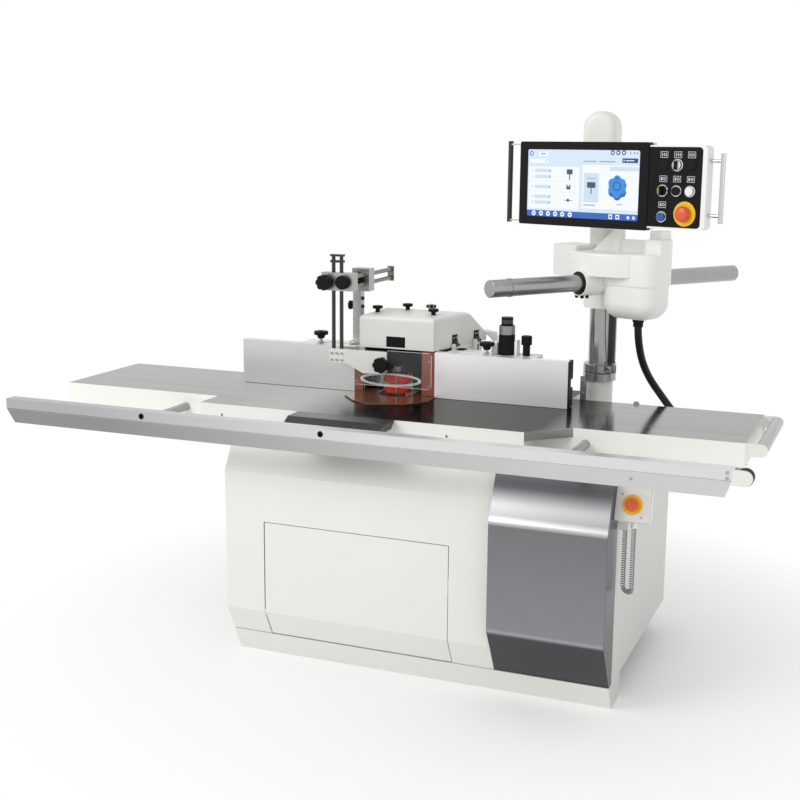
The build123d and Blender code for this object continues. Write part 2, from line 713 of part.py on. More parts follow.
def drive_belt():
    """Flat belt around both pulleys."""
    reach = MOTOR_X - SPINDLE_X
    inner = PULLEY_R + FACE_GAP + 0.1
    outline = SlotCenterToCenter(reach, 2 * inner + 12) - SlotCenterToCenter(reach, 2 * inner)
    height = PULLEY_Z[1] - PULLEY_Z[0] - 10
    return Pos((MOTOR_X + SPINDLE_X) / 2, SPINDLE_Y, PULLEY_Z[0] + 5) * extrude(outline, height)


# Fence
FENCE_BACK = FENCE_FACE + FENCE_THICK


def fence_plate(x, lock_x, outward):
    """Drawn fence plate with T-slots behind and a slotted tab over the carriage."""
    body = block(x, (FENCE_FACE, FENCE_BACK), FENCE_Z)
    for z in (932.0, 1026.0):
        body -= block((x[0] - 1, x[1] + 1), (FENCE_BACK - 6, FENCE_BACK + 1), (z - 5, z + 5))
        body -= block((x[0] - 1, x[1] + 1), (FENCE_BACK - 15, FENCE_BACK - 6), (z - 10, z + 10))
    body -= block((x[0] - 1, x[1] + 1), (FENCE_FACE + 6, FENCE_BACK - 6), (956, 1002))
    travel = sorted((lock_x, lock_x - outward * FENCE_TRAVEL))
    level = (CARRIAGE_TOP + FACE_GAP, FENCE_Z[1])
    tab = block((travel[0] - 22, travel[1] + 22), (FENCE_BACK - 1, LOCK_Y + 12), level)
    slot = block((travel[0] - 6, travel[1] + 6), (LOCK_Y - 6, LOCK_Y + 6), (CARRIAGE_TOP, FENCE_Z[1] + 1))
    return body + tab - slot


def left_fence():
    return fence_plate(LEFT_FENCE_X, LOCK_X[0], -1)


def right_fence():
    return fence_plate(RIGHT_FENCE_X, LOCK_X[1], 1)


def left_gap_plate():
    end = LEFT_FENCE_X[1]
    return block((end, end + 34), (FENCE_FACE, FENCE_FACE + 12), (906, 1003))


def right_gap_plate():
    end = RIGHT_FENCE_X[0]
    return block((end - 49, end), (FENCE_FACE, FENCE_FACE + 12), (906, 1064))


def fence_lock(x):
    """Lock knob with its stud through the fence tab into the carriage."""
    knob = Pos(x, LOCK_Y, FENCE_Z[1] + 16) * grip_knob(LOCK_R, 26)
    knob += rod("z", (x, LOCK_Y), (FENCE_Z[1] + FACE_GAP, FENCE_Z[1] + 17), 11)
    return knob + rod("z", (x, LOCK_Y), (CARRIAGE_TOP - 25, FENCE_Z[1] + 1), STUD_R)


def hood_plan(inset=0.0):
    """Plan of the hood, drawn inside its outer faces by an inset."""
    left = HOOD_LEFT + inset
    front = HOOD_FRONT + inset
    rear = HOOD_REAR - inset
    slope = HOOD_FLARE / (HOOD_REAR - HOOD_FRONT)
    side = HOOD_RIGHT - inset * math.hypot(1, slope)
    edge = [side + slope * (y - HOOD_FRONT) for y in (front, rear)]
    return [(left, front), (edge[0], front), (edge[1], rear), (left, rear)]


def hood_hinge_frame(along):
    """Local frame on the hood hinge: X along the hinge, Y to its left, Z up."""
    slope = math.degrees(math.atan2(HOOD_REAR - HOOD_FRONT, HOOD_FLARE))
    corner = Pos(HOOD_RIGHT, HOOD_FRONT, HOOD_HINGE_Z)
    return corner * Rot(0, 0, slope) * Pos(along, -HOOD_HINGE_OUT, 0)


def fence_carriage():
    """Cast carriage: two arms behind the fences, the chip box between them and the dust outlet."""
    back = CARRIAGE_BACK
    floor = TABLE_TOP + REST_GAP
    plan = prism("z", hood_plan(), (floor, CARRIAGE_TOP + 7))
    front_cut = block((-700, 300), (HOOD_FRONT - 1, CARRIAGE_FRONT), (0, 1200))
    box = plan - front_cut
    body = block((CARRIAGE_LEFT, HOOD_LEFT + 1), (CARRIAGE_FRONT, back), (floor, CARRIAGE_TOP))
    body += block((HOOD_RIGHT, CARRIAGE_RIGHT), (CARRIAGE_FRONT, back), (floor, CARRIAGE_TOP))
    body += box
    flange = (SPIGOT_X - 66, SPIGOT_X + 66)
    body += block(flange, (HOOD_REAR + 0.5, HOOD_REAR + 8), (SPIGOT_Z - 75, SPIGOT_Z + 64))
    rear = (SPIGOT_X - 66, HOOD_RIGHT + HOOD_FLARE)
    body += block(rear, (HOOD_REAR - 8, HOOD_REAR + 4), (floor, CARRIAGE_TOP + 6))
    outlet = (SPIGOT_X, SPIGOT_Z)
    body += rod("y", outlet, (HOOD_REAR + 7, HOOD_REAR + 8 + SPIGOT_LENGTH), SPIGOT_R)
    body -= block((SPINDLE_X - 137, SPINDLE_X + 135), (HOOD_FRONT - 1, 0), (floor - 1, CARRIAGE_TOP + 8))
    body -= prism("z", hood_plan(8), (floor - 1, CARRIAGE_TOP + 8))
    body -= rod("y", outlet, (HOOD_REAR - 30, HOOD_REAR + 9 + SPIGOT_LENGTH), SPIGOT_R - 3)
    for x in ((CARRIAGE_LEFT + 12, HOOD_LEFT - 12), (HOOD_RIGHT + 50, CARRIAGE_RIGHT - 12)):
        body -= block(x, (CARRIAGE_FRONT + 12, back - 12), (floor - 1, CARRIAGE_TOP - 30))
    for x in LOCK_X:
        body -= rod("z", (x, LOCK_Y), (CARRIAGE_TOP - 32, CARRIAGE_TOP + 1), STUD_R + SLIDE_FIT)
    for at, radius in ((DIAL_AT, 10), (FINE_AT, 8)):
        body -= rod("z", at, (CARRIAGE_TOP - 25, CARRIAGE_TOP + 1), radius + SLIDE_FIT)
    for along in HOOD_HINGE_AT:
        wide = (-26, -15.5)
        drop = CARRIAGE_TOP - HOOD_HINGE_Z
        lug = block(wide, (-7, 7), (drop - 40, 0)) + rod("x", (0, 0), wide, 7)
        foot = block(wide, (-7, 16), (drop - 40, drop - 8))
        pin = rod("x", (0, 0), (-16, 16), 3)
        body += hood_hinge_frame(along) * (lug + foot + pin)
    return body


def gap_apron():
    """Thin phenolic plate on the table in front of the fence gap, slotted for the cutter."""
    low = TABLE_TOP + 1
    outline = [(-371, 120), (-371, -66), (-390, -66), (-394, -160), (-330, -235), (-255, -285), (-130, -235)]
    outline += [(-75, -150), (-80, -66), (-99, -66), (-99, 120)]
    body = prism("z", outline, (low, low + 4))
    reach = CUTTER_R + 7
    slot = block((SPINDLE_X - reach, SPINDLE_X + reach), (-65, 66), (low - 1, low + 5))
    slot += rod("z", (SPINDLE_X, -65), (low - 1, low + 5), reach)
    return body - slot - block((SPINDLE_X - reach, SPINDLE_X + reach), (60, 121), (low - 1, low + 5))


def depth_dial():
    """Turret that sets the fence depth: black drum, knurled ring and cap."""
    x, y = DIAL_AT
    base = CARRIAGE_TOP + FACE_GAP
    drum_top = CARRIAGE_TOP + DIAL_DRUM
    ring_top = CARRIAGE_TOP + DIAL_RING
    body = rod("z", DIAL_AT, (base, drum_top), DIAL_R)
    body += rod("z", DIAL_AT, (drum_top - 1, ring_top), DIAL_R - 2)
    for index in range(DIAL_TEETH):
        turn = Rot(0, 0, 360 / DIAL_TEETH * index)
        body += Pos(x, y, (drum_top + ring_top) / 2) * turn * Pos(DIAL_R - 2, 0, 0) * Box(3, 4, 26)
    body += rod("z", DIAL_AT, (ring_top - 1, CARRIAGE_TOP + DIAL_CAP), DIAL_R - 8)
    return body + rod("z", DIAL_AT, (CARRIAGE_TOP - 20, base + 1), 10)


def fine_knob():
    x, y = FINE_AT
    base = CARRIAGE_TOP + FACE_GAP
    grip = CARRIAGE_TOP + FINE_STEM
    body = rod("z", FINE_AT, (base, grip), FINE_R - 6)
    body += Pos(x, y, grip) * grip_knob(FINE_R, 32, 9)
    return body + rod("z", FINE_AT, (CARRIAGE_TOP - 20, base + 1), 8)


# Hood
def hood_solid(inset):
    """The hood as a solid, drawn inside its outer faces by an inset."""
    top = HOOD_Z[1] - inset
    body = prism("z", hood_plan(inset), (HOOD_Z[0] - (1 if inset else 0), top))
    slope_y, slope_z = HOOD_SLOPE
    drop = inset * 1.25
    wedge = [(slope_y, HOOD_Z[1] - drop), (HOOD_REAR, slope_z - drop), (HOOD_REAR + 9, slope_z - drop)]
    wedge += [(HOOD_REAR + 9, HOOD_Z[1] + 9), (slope_y, HOOD_Z[1] + 9)]
    body -= prism("x", wedge, (-700, 300))
    upper = [edge for edge in body.faces().sort_by(Axis.Z)[-1].edges() if edge.center().Y < slope_y - 5]
    return fillet(upper, 16 - inset)


def hood():
    """Folded hood, open below, with its window and two hinge barrels."""
    body = hood_solid(0) - hood_solid(SHEET)
    body -= block(HOOD_WINDOW[0], (HOOD_FRONT - 1, HOOD_FRONT + SHEET + 1), HOOD_WINDOW[1])
    for x, y in HOOD_KNOBS:
        body -= rod("z", (x, y), (HOOD_Z[1] - 10, HOOD_Z[1] + 1), 4)
    for along in HOOD_HINGE_AT:
        barrel = rod("x", (0, 0), (-15, 15), 6) + block((-15, 15), (3, HOOD_HINGE_OUT + 1), (-6, 14))
        barrel -= rod("x", (0, 0), (-17, 17), 3 + SLIDE_FIT)
        body += hood_hinge_frame(along) * barrel
    return body


def hood_knobs():
    """Four thumb screws on the hood."""
    knobs = []
    for x, y in HOOD_KNOBS:
        knob = Pos(x, y, HOOD_Z[1] + 12) * grip_knob(13, 18, 6)
        knob += rod("z", (x, y), (HOOD_Z[1], HOOD_Z[1] + 13), 7)
        knobs.append(knob + rod("z", (x, y), (HOOD_Z[1] - 12, HOOD_Z[1] + 1), 4))
    return knobs


# Cutter guard
def guard_post():
    """Square post on the carriage with the clamp head that holds the arm rods."""
    body = block(POST_X, POST_Y, (CARRIAGE_TOP, GUARD_HEAD_Z[0]))
    foot = (POST_X[0] - 14, POST_X[1] + 14)
    body += block(foot, (POST_Y[0] - 6, POST_Y[1] + 6), (CARRIAGE_TOP, CARRIAGE_TOP + 14))
    body += block((POST_X[0], ARM_X + 18), (POST_Y[0] - 8, POST_Y[1] + 8), GUARD_HEAD_Z)
    for z in ARM_Z:
        body -= rod("y", (ARM_X, z), (POST_Y[0] - 9, POST_Y[1] + 9), ARM_R + SLIDE_FIT)
    screw = (POST_X[0] + 15, GUARD_KNOB_Z)
    return body - rod("y", screw, (POST_Y[0] - 9, POST_Y[0] + 12), STUD_R + SLIDE_FIT)


def guard_arm():
    """Twin cross rods with the rear tie plate and the front clamp block."""
    body = block((CLAMP_LEFT, ARM_X + 18), CLAMP_Y, CLAMP_Z)
    for z in ARM_Z:
        body += rod("y", (ARM_X, z), (CLAMP_Y[1] - 1, ARM_REAR + 1), ARM_R)
    body += block((ARM_X - 12, ARM_X + 12), (ARM_REAR, ARM_REAR + 8), (ARM_Z[0] - 12, ARM_Z[1] + 12))
    for x in GUARD_ROD_X:
        body -= rod("z", (x, GUARD_ROD_Y), (CLAMP_Z[0] - 5, CLAMP_Z[1] + 5), GUARD_ROD_R + SLIDE_FIT)
    screw = (HEIGHT_KNOB_X, GUARD_KNOB_Z)
    return body - rod("y", screw, (CLAMP_Y[0] - 1, CLAMP_Y[0] + 22), STUD_R + SLIDE_FIT)


def guard_rods():
    """Twin upright rods joined by two ties at the top."""
    low, high = GUARD_TIES
    wide = (GUARD_ROD_X[0] - 10, GUARD_ROD_X[1] + 10)
    body = block(wide, (GUARD_ROD_Y - 9, GUARD_ROD_Y + 9), (high, GUARD_ROD_TOP))
    body += block(wide, (GUARD_ROD_Y - 8, GUARD_ROD_Y + 8), (low, low + 9))
    for x in GUARD_ROD_X:
        body += rod("z", (x, GUARD_ROD_Y), (GUARD_ROD_FOOT, GUARD_ROD_TOP - 1), GUARD_ROD_R)
    return body


def guard_bracket():
    """White plate that carries the presser, clamped to the upright rods."""
    left = GUARD_ROD_X[0] - 13
    right = GUARD_ROD_X[1] + 14
    top = GUARD_ROD_FOOT + 48
    tip = PRESSER_AT[0] + 10
    low = PRESSER_AT[1] - 39
    outline = [(left, top), (tip, top), (tip, low + 10), (tip - 13, low + 2), (tip - 91, low)]
    outline += [(tip - 157, low + 32), (left, low + 32)]
    body = prism("y", outline, GUARD_PLATE_Y)
    body += block((left, right), (GUARD_PLATE_Y[1] - 1, GUARD_ROD_Y + 9), (GUARD_ROD_FOOT, top - 4))
    for rod_x in GUARD_ROD_X:
        body -= rod("z", (rod_x, GUARD_ROD_Y), (GUARD_ROD_FOOT - 6, top + 6), GUARD_ROD_R)
    for bolt_x in (left + 12, left + 32, left + 52):
        for bolt_z in (GUARD_ROD_FOOT + 10, GUARD_ROD_FOOT + 34):
            body += rod("y", (bolt_x, bolt_z), (GUARD_PLATE_Y[0] - 5, GUARD_PLATE_Y[0] + 1), 5)
    return body - rod("y", PRESSER_AT, (GUARD_PLATE_Y[0] - 1, GUARD_PLATE_Y[1] + 1), STUD_R + SLIDE_FIT)


def presser_finger():
    """Clear looped finger that hangs in front of the cutter from a slotted leg."""
    x, z = PRESSER_AT
    front = GUARD_PLATE_Y[0]
    leg = block((x - 12, x + 12), (front - 6, front), (952, z + 18))
    loop = SlotOverall(150, 62) - SlotOverall(134, 46)
    ring = Pos(x + 62, front - 34, 952) * extrude(loop, 6)
    leg += ring + block((x - 12, x + 12), (front - 12, front), (952, 958))
    return leg - rod("y", PRESSER_AT, (front - 7, front + 1), STUD_R + 1)


def front_knob(x, z, face, stud):
    """Star knob on a face that looks to the front, with its stud."""
    knob = Pos(x, face - 12, z) * Rot(90, 0, 0) * grip_knob(GUARD_KNOB_R, 22)
    knob += rod("y", (x, z), (face - 13, face - FACE_GAP), 11)
    return knob + rod("y", (x, z), (face - 1, face + stud), STUD_R)


def guard_height_knob():
    return front_knob(HEIGHT_KNOB_X, GUARD_KNOB_Z, CLAMP_Y[0], 20)


def guard_depth_knob():
    return front_knob(POST_X[0] + 15, GUARD_KNOB_Z, POST_Y[0] - 8, 18)


def presser_knob():
    face = GUARD_PLATE_Y[0] - 6
    return front_knob(PRESSER_AT[0], PRESSER_AT[1], face, 13)


# Column, head and mast
COLUMN = (COLUMN_X, COLUMN_Y)
RING_TOP = FOOT_TOP + 2 * RING_HEIGHT
RACK_OUT = COLUMN_R + RACK_PROUD


def column_foot():
    """White foot tube with its flange on the deck."""
    outer = COLUMN_R + FOOT_WALL
    body = rod("z", COLUMN, (DECK_TOP, FOOT_TOP), outer)
    body += rod("z", COLUMN, (DECK_TOP, DECK_TOP + 14), outer + 22)
    return body - rod("z", COLUMN, (DECK_TOP + 14, FOOT_TOP + 1), COLUMN_R)


def column_tube():
    """Polished column, the two clamp rings around it and the rack strip up its right side."""
    tube = rod("z", COLUMN, (DECK_TOP + 14, COLUMN_TOP), COLUMN_R)
    tube -= rod("z", COLUMN, (DECK_TOP + 30, COLUMN_TOP + 1), COLUMN_R - 6)
    pieces = [tube]
    outer = COLUMN_R + RING_WALL
    for index in range(2):
        low = FOOT_TOP + index * RING_HEIGHT
        ring = rod("z", COLUMN, (low, low + RING_HEIGHT - 1.5), outer)
        ring -= rod("z", COLUMN, (low - 1, low + RING_HEIGHT), COLUMN_R)
        split = (COLUMN_Y - outer - 1, COLUMN_Y - COLUMN_R + 4)
        ring -= block((COLUMN_X - 3, COLUMN_X + 3), split, (low - 1, low + RING_HEIGHT))
        rim = ring.edges().filter_by(GeomType.CIRCLE).group_by(Axis.Z)[-1].sort_by(SortBy.LENGTH)[-1:]
        pieces.append(chamfer(rim, 3))
    return [*pieces, rack_strip()]


def rack_frame():
    """Frame on the column's axis, turned to face the rack."""
    return Pos(COLUMN_X, COLUMN_Y, 0) * Rot(0, 0, RACK_TURN)


def rack_strip():
    """Toothed strip up the right of the column."""
    x = (COLUMN_R - 8, RACK_OUT)
    y = (-RACK_WIDTH / 2, RACK_WIDTH / 2)
    body = block(x, y, (RING_TOP, RACK_TOP)) - rod("z", (0, 0), (RING_TOP - 1, RACK_TOP + 1), COLUMN_R)
    for index in range(RACK_TEETH):
        z = RING_TOP + 8 + RACK_PITCH * index
        body -= block((x[1] - 4, x[1] + 1), (y[0] - 1, y[1] + 1), (z, z + RACK_PITCH / 2))
    return rack_frame() * body


def rack_slot(low, high):
    """Space that the rack needs in what slides along the column."""
    half = RACK_WIDTH / 2 + 1
    return rack_frame() * block((0, RACK_OUT + 1), (-half, half), (low, high))


def head_frame():
    """Local frame of the head: X along the feeder tube, Y away from the operator, origin on the column."""
    return Pos(COLUMN_X, COLUMN_Y, 0) * Rot(0, 0, HEAD_YAW)


def bowl_frame():
    """Local frame of the bowl, square to the control panel."""
    return Pos(COLUMN_X + BOWL_OUT[0], COLUMN_Y + BOWL_OUT[1], 0) * Rot(0, 0, PANEL_YAW)


def pivot_place():
    """Plan position of the upright panel pivot."""
    yaw = math.radians(PANEL_YAW)
    x = PANEL_AT[0] + PIVOT_X * math.cos(yaw) - PIVOT_Y * math.sin(yaw)
    y = PANEL_AT[1] + PIVOT_X * math.sin(yaw) + PIVOT_Y * math.cos(yaw)
    return x, y


def rounded_block(x, y, z, corner, end, radius):
    """A box with round upright corners and one rounded end: -1 for the top, 0 for the bottom."""
    body = block(x, y, z)
    body = fillet(body.edges().filter_by(Axis.Z), corner)
    return fillet(body.faces().sort_by(Axis.Z)[end].edges(), radius)


def head_drum():
    """Round drum over the tube arm, cut flat where the tube comes out, on a narrower neck of its own."""
    centre = (0, -TUBE_OFFSET)
    drum = rod("z", centre, DRUM_Z, DRUM_R)
    drum = fillet(drum.faces().sort_by(Axis.Z)[-1].edges(), 8)
    reach = DRUM_R + TUBE_OFFSET
    drum -= block((-reach, DRUM_END), (-reach, reach), (DRUM_Z[0] - 1, DRUM_Z[1] + 1))
    drum -= block((-reach, WING_X[1] - NECK_WALL), (DRUM_LEFT, reach), (DRUM_Z[0] - 1, DRUM_Z[1] + 1))
    under = rod("z", centre, (UNDER_BOTTOM, DRUM_Z[0] + 1), UNDER_R)
    under -= block((-reach, 0), (-reach, reach), (UNDER_BOTTOM - 1, DRUM_Z[0] + 1))
    boss = rod("x", (-TUBE_OFFSET, TUBE_Z), (BOSS_END, 0), TUBE_R + BOSS_WALL)
    arm = block((DRUM_END, 0), (-TUBE_OFFSET - TUBE_R, -TUBE_OFFSET + TUBE_R), (TUBE_Z, DRUM_Z[0] + 1))
    bridge = rod("z", centre, (NECK_BOTTOM + 8, DRUM_Z[0]), BRIDGE_R)
    return drum + under + boss + arm + bridge


def drum_trim():
    """What the drum loses beside and behind the bowl, drawn in the bowl's frame."""
    far = 2 * DRUM_R
    tall = (UNDER_BOTTOM - 1, DRUM_Z[1] + 1)
    back = BOWL_Y[1] + RIM_STEP
    trim = block((0, far), (-far, far), tall) + block((BOWL_X[0] + 60, far), (back, far), tall)
    return trim + block((-far, far), (back + DRUM_TAIL, far), tall)


def head_bowl():
    """Bowl that hangs on the right of the head, its rim, and the tower and wall that rise behind it."""
    bowl = rounded_block(BOWL_X, BOWL_Y, (BOWL_BOTTOM, BOWL_RIM + 1), BOWL_CORNER, 0, BOWL_ROUND)
    wide = (BOWL_X[0] - RIM_STEP, BOWL_X[1] + RIM_STEP)
    deep = (BOWL_Y[0] - RIM_STEP, BOWL_Y[1] + RIM_STEP)
    shoulder = rounded_block(wide, deep, (BOWL_RIM, DRUM_Z[1]), BOWL_CORNER, -1, 5)
    foot = DRUM_Z[1] - 20
    tower = rounded_block(wide, deep, (foot, TOWER_TOP), BOWL_CORNER, -1, 5)
    tower &= block((TOWER_X, wide[1]), (TOWER_Y, deep[1]), (foot, TOWER_TOP))
    wall = block((TOWER_WALL[0], TOWER_X + 30), (TOWER_WALL[1], BOWL_Y[1] - 10), (foot, WALL_TOP))
    stump = ((TOWER_X, BOWL_X[1] - 6), (TOWER_Y + 20, BOWL_Y[1] - 30), (TOWER_TOP - 1, TOWER_POST))
    return bowl + shoulder + tower + wall + rounded_block(*stump, 10, -1, 4)


def head_casting():
    """Overhead casting: drum, bowl, neck round the column, rear block and the panel pivot with its gusset."""
    body = head_frame() * head_drum() - bowl_frame() * drum_trim()
    neck = rod("z", (0, 0), (NECK_BOTTOM, DRUM_Z[1]), COLUMN_R + NECK_WALL)
    body += head_frame() * (neck + rounded_block(WING_X, WING_Y, WING_Z, 8, -1, 4))
    body += bowl_frame() * head_bowl()
    x, y = pivot_place()
    body += rod("z", (x, y), (DRUM_Z[1] - 12, PIVOT_SHOULDER), PIVOT_R + 8)
    body += rod("z", (x, y), (PIVOT_SHOULDER - 5, PIVOT_TOP), PIVOT_R)
    foot = DRUM_Z[1] - 1
    body += prism("y", [(x - PIVOT_R - GUSSET, foot), (x, foot), (x, foot + GUSSET + PIVOT_R)], (y - 7, y + 7))
    bore = rod("x", (-TUBE_OFFSET, TUBE_Z), (TUBE_SPAN[0], TUBE_SPAN[1]), TUBE_R + SLIDE_FIT)
    body -= head_frame() * bore
    body -= rod("z", COLUMN, (BOWL_BOTTOM, MAST_TOP), COLUMN_R + SLIDE_FIT)
    body -= rod("z", COLUMN, (DRUM_Z[1], MAST_TOP), sleeve_radius() + FACE_GAP)
    return body - rack_slot(BOWL_BOTTOM, MAST_TOP)


def gland_place():
    return bowl_frame() * Pos(*GLAND_AT, 0)


def hose_gland():
    """Cable gland under the head, with a six-sided nut."""
    nut = Pos(0, 0, BOWL_BOTTOM - 10) * extrude(RegularPolygon(22, 6), 10)
    nut += rod("z", (0, 0), (BOWL_BOTTOM - 27, BOWL_BOTTOM - 9), HOSE_R + 4)
    return gland_place() * (nut - rod("z", (0, 0), (BOWL_BOTTOM - 28, BOWL_BOTTOM - 12), HOSE_R))


def feeder_tube():
    """Feeder carrier tube with a stop ring and closed ends."""
    axis = (-TUBE_OFFSET, TUBE_Z)
    low, high = TUBE_SPAN
    body = rod("x", axis, TUBE_SPAN, TUBE_R)
    body = chamfer(body.edges().filter_by(GeomType.CIRCLE), 2)
    body -= rod("x", axis, (low + TUBE_WALL + 1, high - TUBE_WALL - 1), TUBE_R - TUBE_WALL)
    ring = (low + TUBE_RING, low + TUBE_RING + 10)
    collar = rod("x", axis, ring, TUBE_R + 2) - rod("x", axis, (ring[0] - 1, ring[1] + 1), TUBE_R - 1)
    return head_frame() * (body + collar)


def sleeve_radius():
    return COLUMN_R + SLEEVE_GAP + SLEEVE_WALL


def cap_solid(inset):
    """The arched cap as a solid, drawn inside its outer faces by an inset."""
    x = (COLUMN_X + CAP_X[0] + inset, COLUMN_X + CAP_X[1] - inset)
    y = (COLUMN_Y + CAP_Y[0] + inset, COLUMN_Y + CAP_Y[1] - inset)
    radius = (x[1] - x[0]) / 2
    crown = MAST_TOP - inset - radius
    body = block(x, y, (CAP_BOTTOM + inset, crown))
    return body + rod("y", ((x[0] + x[1]) / 2, crown), y, radius)


def mast():
    """Sleeve round the column top that carries a hollow arched cap with rounded rims."""
    body = rod("z", COLUMN, (DRUM_Z[1], CAP_BOTTOM + 1), sleeve_radius())
    body -= rod("z", COLUMN, (DRUM_Z[1] - 1, CAP_BOTTOM), COLUMN_R + SLEEVE_GAP)
    body -= rack_slot(DRUM_Z[1] - 1, CAP_BOTTOM)
    cap = cap_solid(0)
    faces = cap.faces().sort_by(Axis.Y)
    rims = [edge for face in (faces[0], faces[-1]) for edge in face.edges() if edge.center().Z > CAP_BOTTOM + 1]
    return body + (fillet(rims, CAP_ROUND) - cap_solid(CAP_WALL))


# Control panel
def panel_frame():
    return Pos(*PANEL_AT) * Rot(0, 0, PANEL_YAW)


def button_places():
    """Where each control stands on the box face."""
    left, middle, right = BUTTON_COLUMNS
    high, centre, low = BUTTON_ROWS
    return {
        "mode_selector": (middle, high),
        "axis_selector": (left, centre),
        "stop_button": (middle, centre),
        "start_button": (right, centre),
        "reset_button": (left, low),
    }


def panel_case():
    """Monitor case and control box on one back plate, with the pivot lug."""
    half = MONITOR_HEIGHT / 2
    monitor = block((-MONITOR_WIDTH, 0), (0, MONITOR_DEPTH), (-half, half))
    monitor = fillet(monitor.edges().filter_by(Axis.Y), MONITOR_CORNER)
    body = monitor - block(SCREEN_X, (-1, 2), SCREEN_Z)
    tall = BOX_HEIGHT / 2
    box = block((2, 2 + BOX_WIDTH + CASE_EDGE), (0, BOX_DEPTH), (-tall, tall))
    box = fillet(box.edges().filter_by(Axis.Y).group_by(Axis.X)[-1], BOX_CORNER)
    body += fillet(box.faces().sort_by(Axis.Y)[-1].edges().group_by(Axis.X)[1:], BOX_ROUND)
    body += block((-60, 40), (20, MONITOR_DEPTH + 8), (-100, 100))
    pivot = (PIVOT_X, PIVOT_Y)
    lug_z = (PIVOT_SHOULDER + FACE_GAP - PANEL_AT[2], LUG_TOP - PANEL_AT[2])
    body += block((PIVOT_X - 24, PIVOT_X + 24), (MONITOR_DEPTH - 1, PIVOT_Y), lug_z)
    body += rod("z", pivot, lug_z, PIVOT_R + 10)
    body -= rod("z", pivot, (lug_z[0] - 1, lug_z[1] + 1), PIVOT_R + SLIDE_FIT)
    for at in button_places().values():
        body -= rod("y", at, (-1, 30), 8 + SLIDE_FIT)
    return panel_frame() * (body - rod("y", PANEL_ESTOP, (-1, 40), ESTOP_STEM_R + SLIDE_FIT))


def panel_handles():
    """Grip bars at both sides: the left one between two end plates, the right one on two round arms."""
    side = -MONITOR_WIDTH
    at = side - GRIP_OUT[0]
    deep = (GRIP_Y[0] - GRIP_R[0], GRIP_Y[0] + GRIP_R[0])
    left = rod("z", (at, GRIP_Y[0]), LEFT_GRIP, GRIP_R[0])
    reach = MONITOR_HEIGHT / 2 - MONITOR_CORNER - GRIP_PLATE
    for z in (-reach - GRIP_PLATE, reach):
        left += block((at, side), deep, (z, z + GRIP_PLATE))
    edge = 2 + BOX_WIDTH + CASE_EDGE
    right = rod("z", (edge + GRIP_OUT[1], GRIP_Y[1]), RIGHT_GRIP, GRIP_R[1])
    for z in (RIGHT_GRIP[0] + GRIP_ARM, RIGHT_GRIP[1] - GRIP_ARM):
        right += rod("x", (GRIP_Y[1], z), (edge, edge + GRIP_OUT[1]), GRIP_R[1] - 2)
    return [panel_frame() * left, panel_frame() * right]


def push_button(at):
    """Round push button cap with its stem."""
    cap = rod("y", at, (-12, -PRESS_TRAVEL - 1), BUTTON_R)
    cap = chamfer(cap.faces().sort_by(Axis.Y)[0].edges(), 1.5)
    return panel_frame() * (cap + rod("y", at, (-PRESS_TRAVEL - 2, 22), 8))


def selector(at):
    """Turning selector with a raised grip bar."""
    base = rod("y", at, (-8, -FACE_GAP), BUTTON_R + 2)
    grip = block((at[0] - 4, at[0] + 4), (-20, -7), (at[1] - BUTTON_R, at[1] + BUTTON_R))
    return panel_frame() * (base + grip + rod("y", at, (-1, 25), 8))


def mushroom(at, front=0.0):
    """Emergency stop mushroom with its stem, pressed along +Y."""
    low = front - 30
    head = rod("y", at, (low, front - PRESS_TRAVEL - 3), ESTOP_R)
    head = fillet(head.faces().sort_by(Axis.Y)[0].edges(), 7)
    return head + rod("y", at, (front - PRESS_TRAVEL - 4, front + 32), ESTOP_STEM_R)


def panel_estop():
    return panel_frame() * mushroom(PANEL_ESTOP)


# Emergency stop box
def stop_box_frame():
    return Pos(HALF + STOP_BOX_WIDTH / 2, STOP_BOX_Y, STOP_BOX_Z) * Rot(STOP_BOX_TILT, 0, 0)


def estop_box():
    """Small tilted box on the right of the base, with the cord gland below."""
    wide = STOP_BOX_WIDTH / 2
    deep = STOP_BOX_DEPTH / 2
    tall = STOP_BOX_HEIGHT / 2
    body = block((-wide, wide), (-deep, deep), (-tall, tall))
    body = fillet(body.edges().filter_by(Axis.Y), 6)
    body = chamfer(body.faces().sort_by(Axis.Y)[0].edges(), 2)
    body -= rod("y", (0, 0), (-deep - 1, -deep + 45), ESTOP_STEM_R + SLIDE_FIT)
    return stop_box_frame() * body


def base_estop():
    return stop_box_frame() * mushroom((0, 0), -STOP_BOX_DEPTH / 2)


# Cords
def cord_ends():
    """Upper ends of the curly cord at the stop box and at the base."""
    return [(*plan, top) for plan, top in zip(CORD_PLAN, CORD_TOPS)]


def hose_start():
    point = (gland_place() * Pos(0, 0, BOWL_BOTTOM - 12)).position
    return (point.X, point.Y, point.Z)


def cable_glands():
    """Glands for the curly cord at the box and the base, and the hose elbow on the base side."""
    (x, y, z), (wall_x, wall_y, wall_z) = cord_ends()
    box_gland = rod("z", (x, y), (z - 6, STOP_BOX_Z), CORD_COIL_R + 4) - estop_box()
    box_gland = box_gland.solids().sort_by(Axis.Z)[0] - coil_wire(0, 2)
    reach = CORD_COIL_R + 5
    wall_gland = block((HALF, wall_x + reach), (wall_y - reach, wall_y + reach), (wall_z - 6, wall_z + 14))
    wall_gland -= coil_wire(CORD_CURLS * 2 - 2, CORD_CURLS * 2)
    x, y, z = HOSE_END
    elbow = block((HALF, x), (y - 16, y + 16), (z - 40, z - 8)) + rod("z", (x, y), (z - 40, z + 20), HOSE_R + 4)
    elbow += rod("x", (y, z - 24), (HALF, HALF + 12), 26)
    return [box_gland, wall_gland, elbow - rod("z", (x, y), (z, z + 21), HOSE_R)]


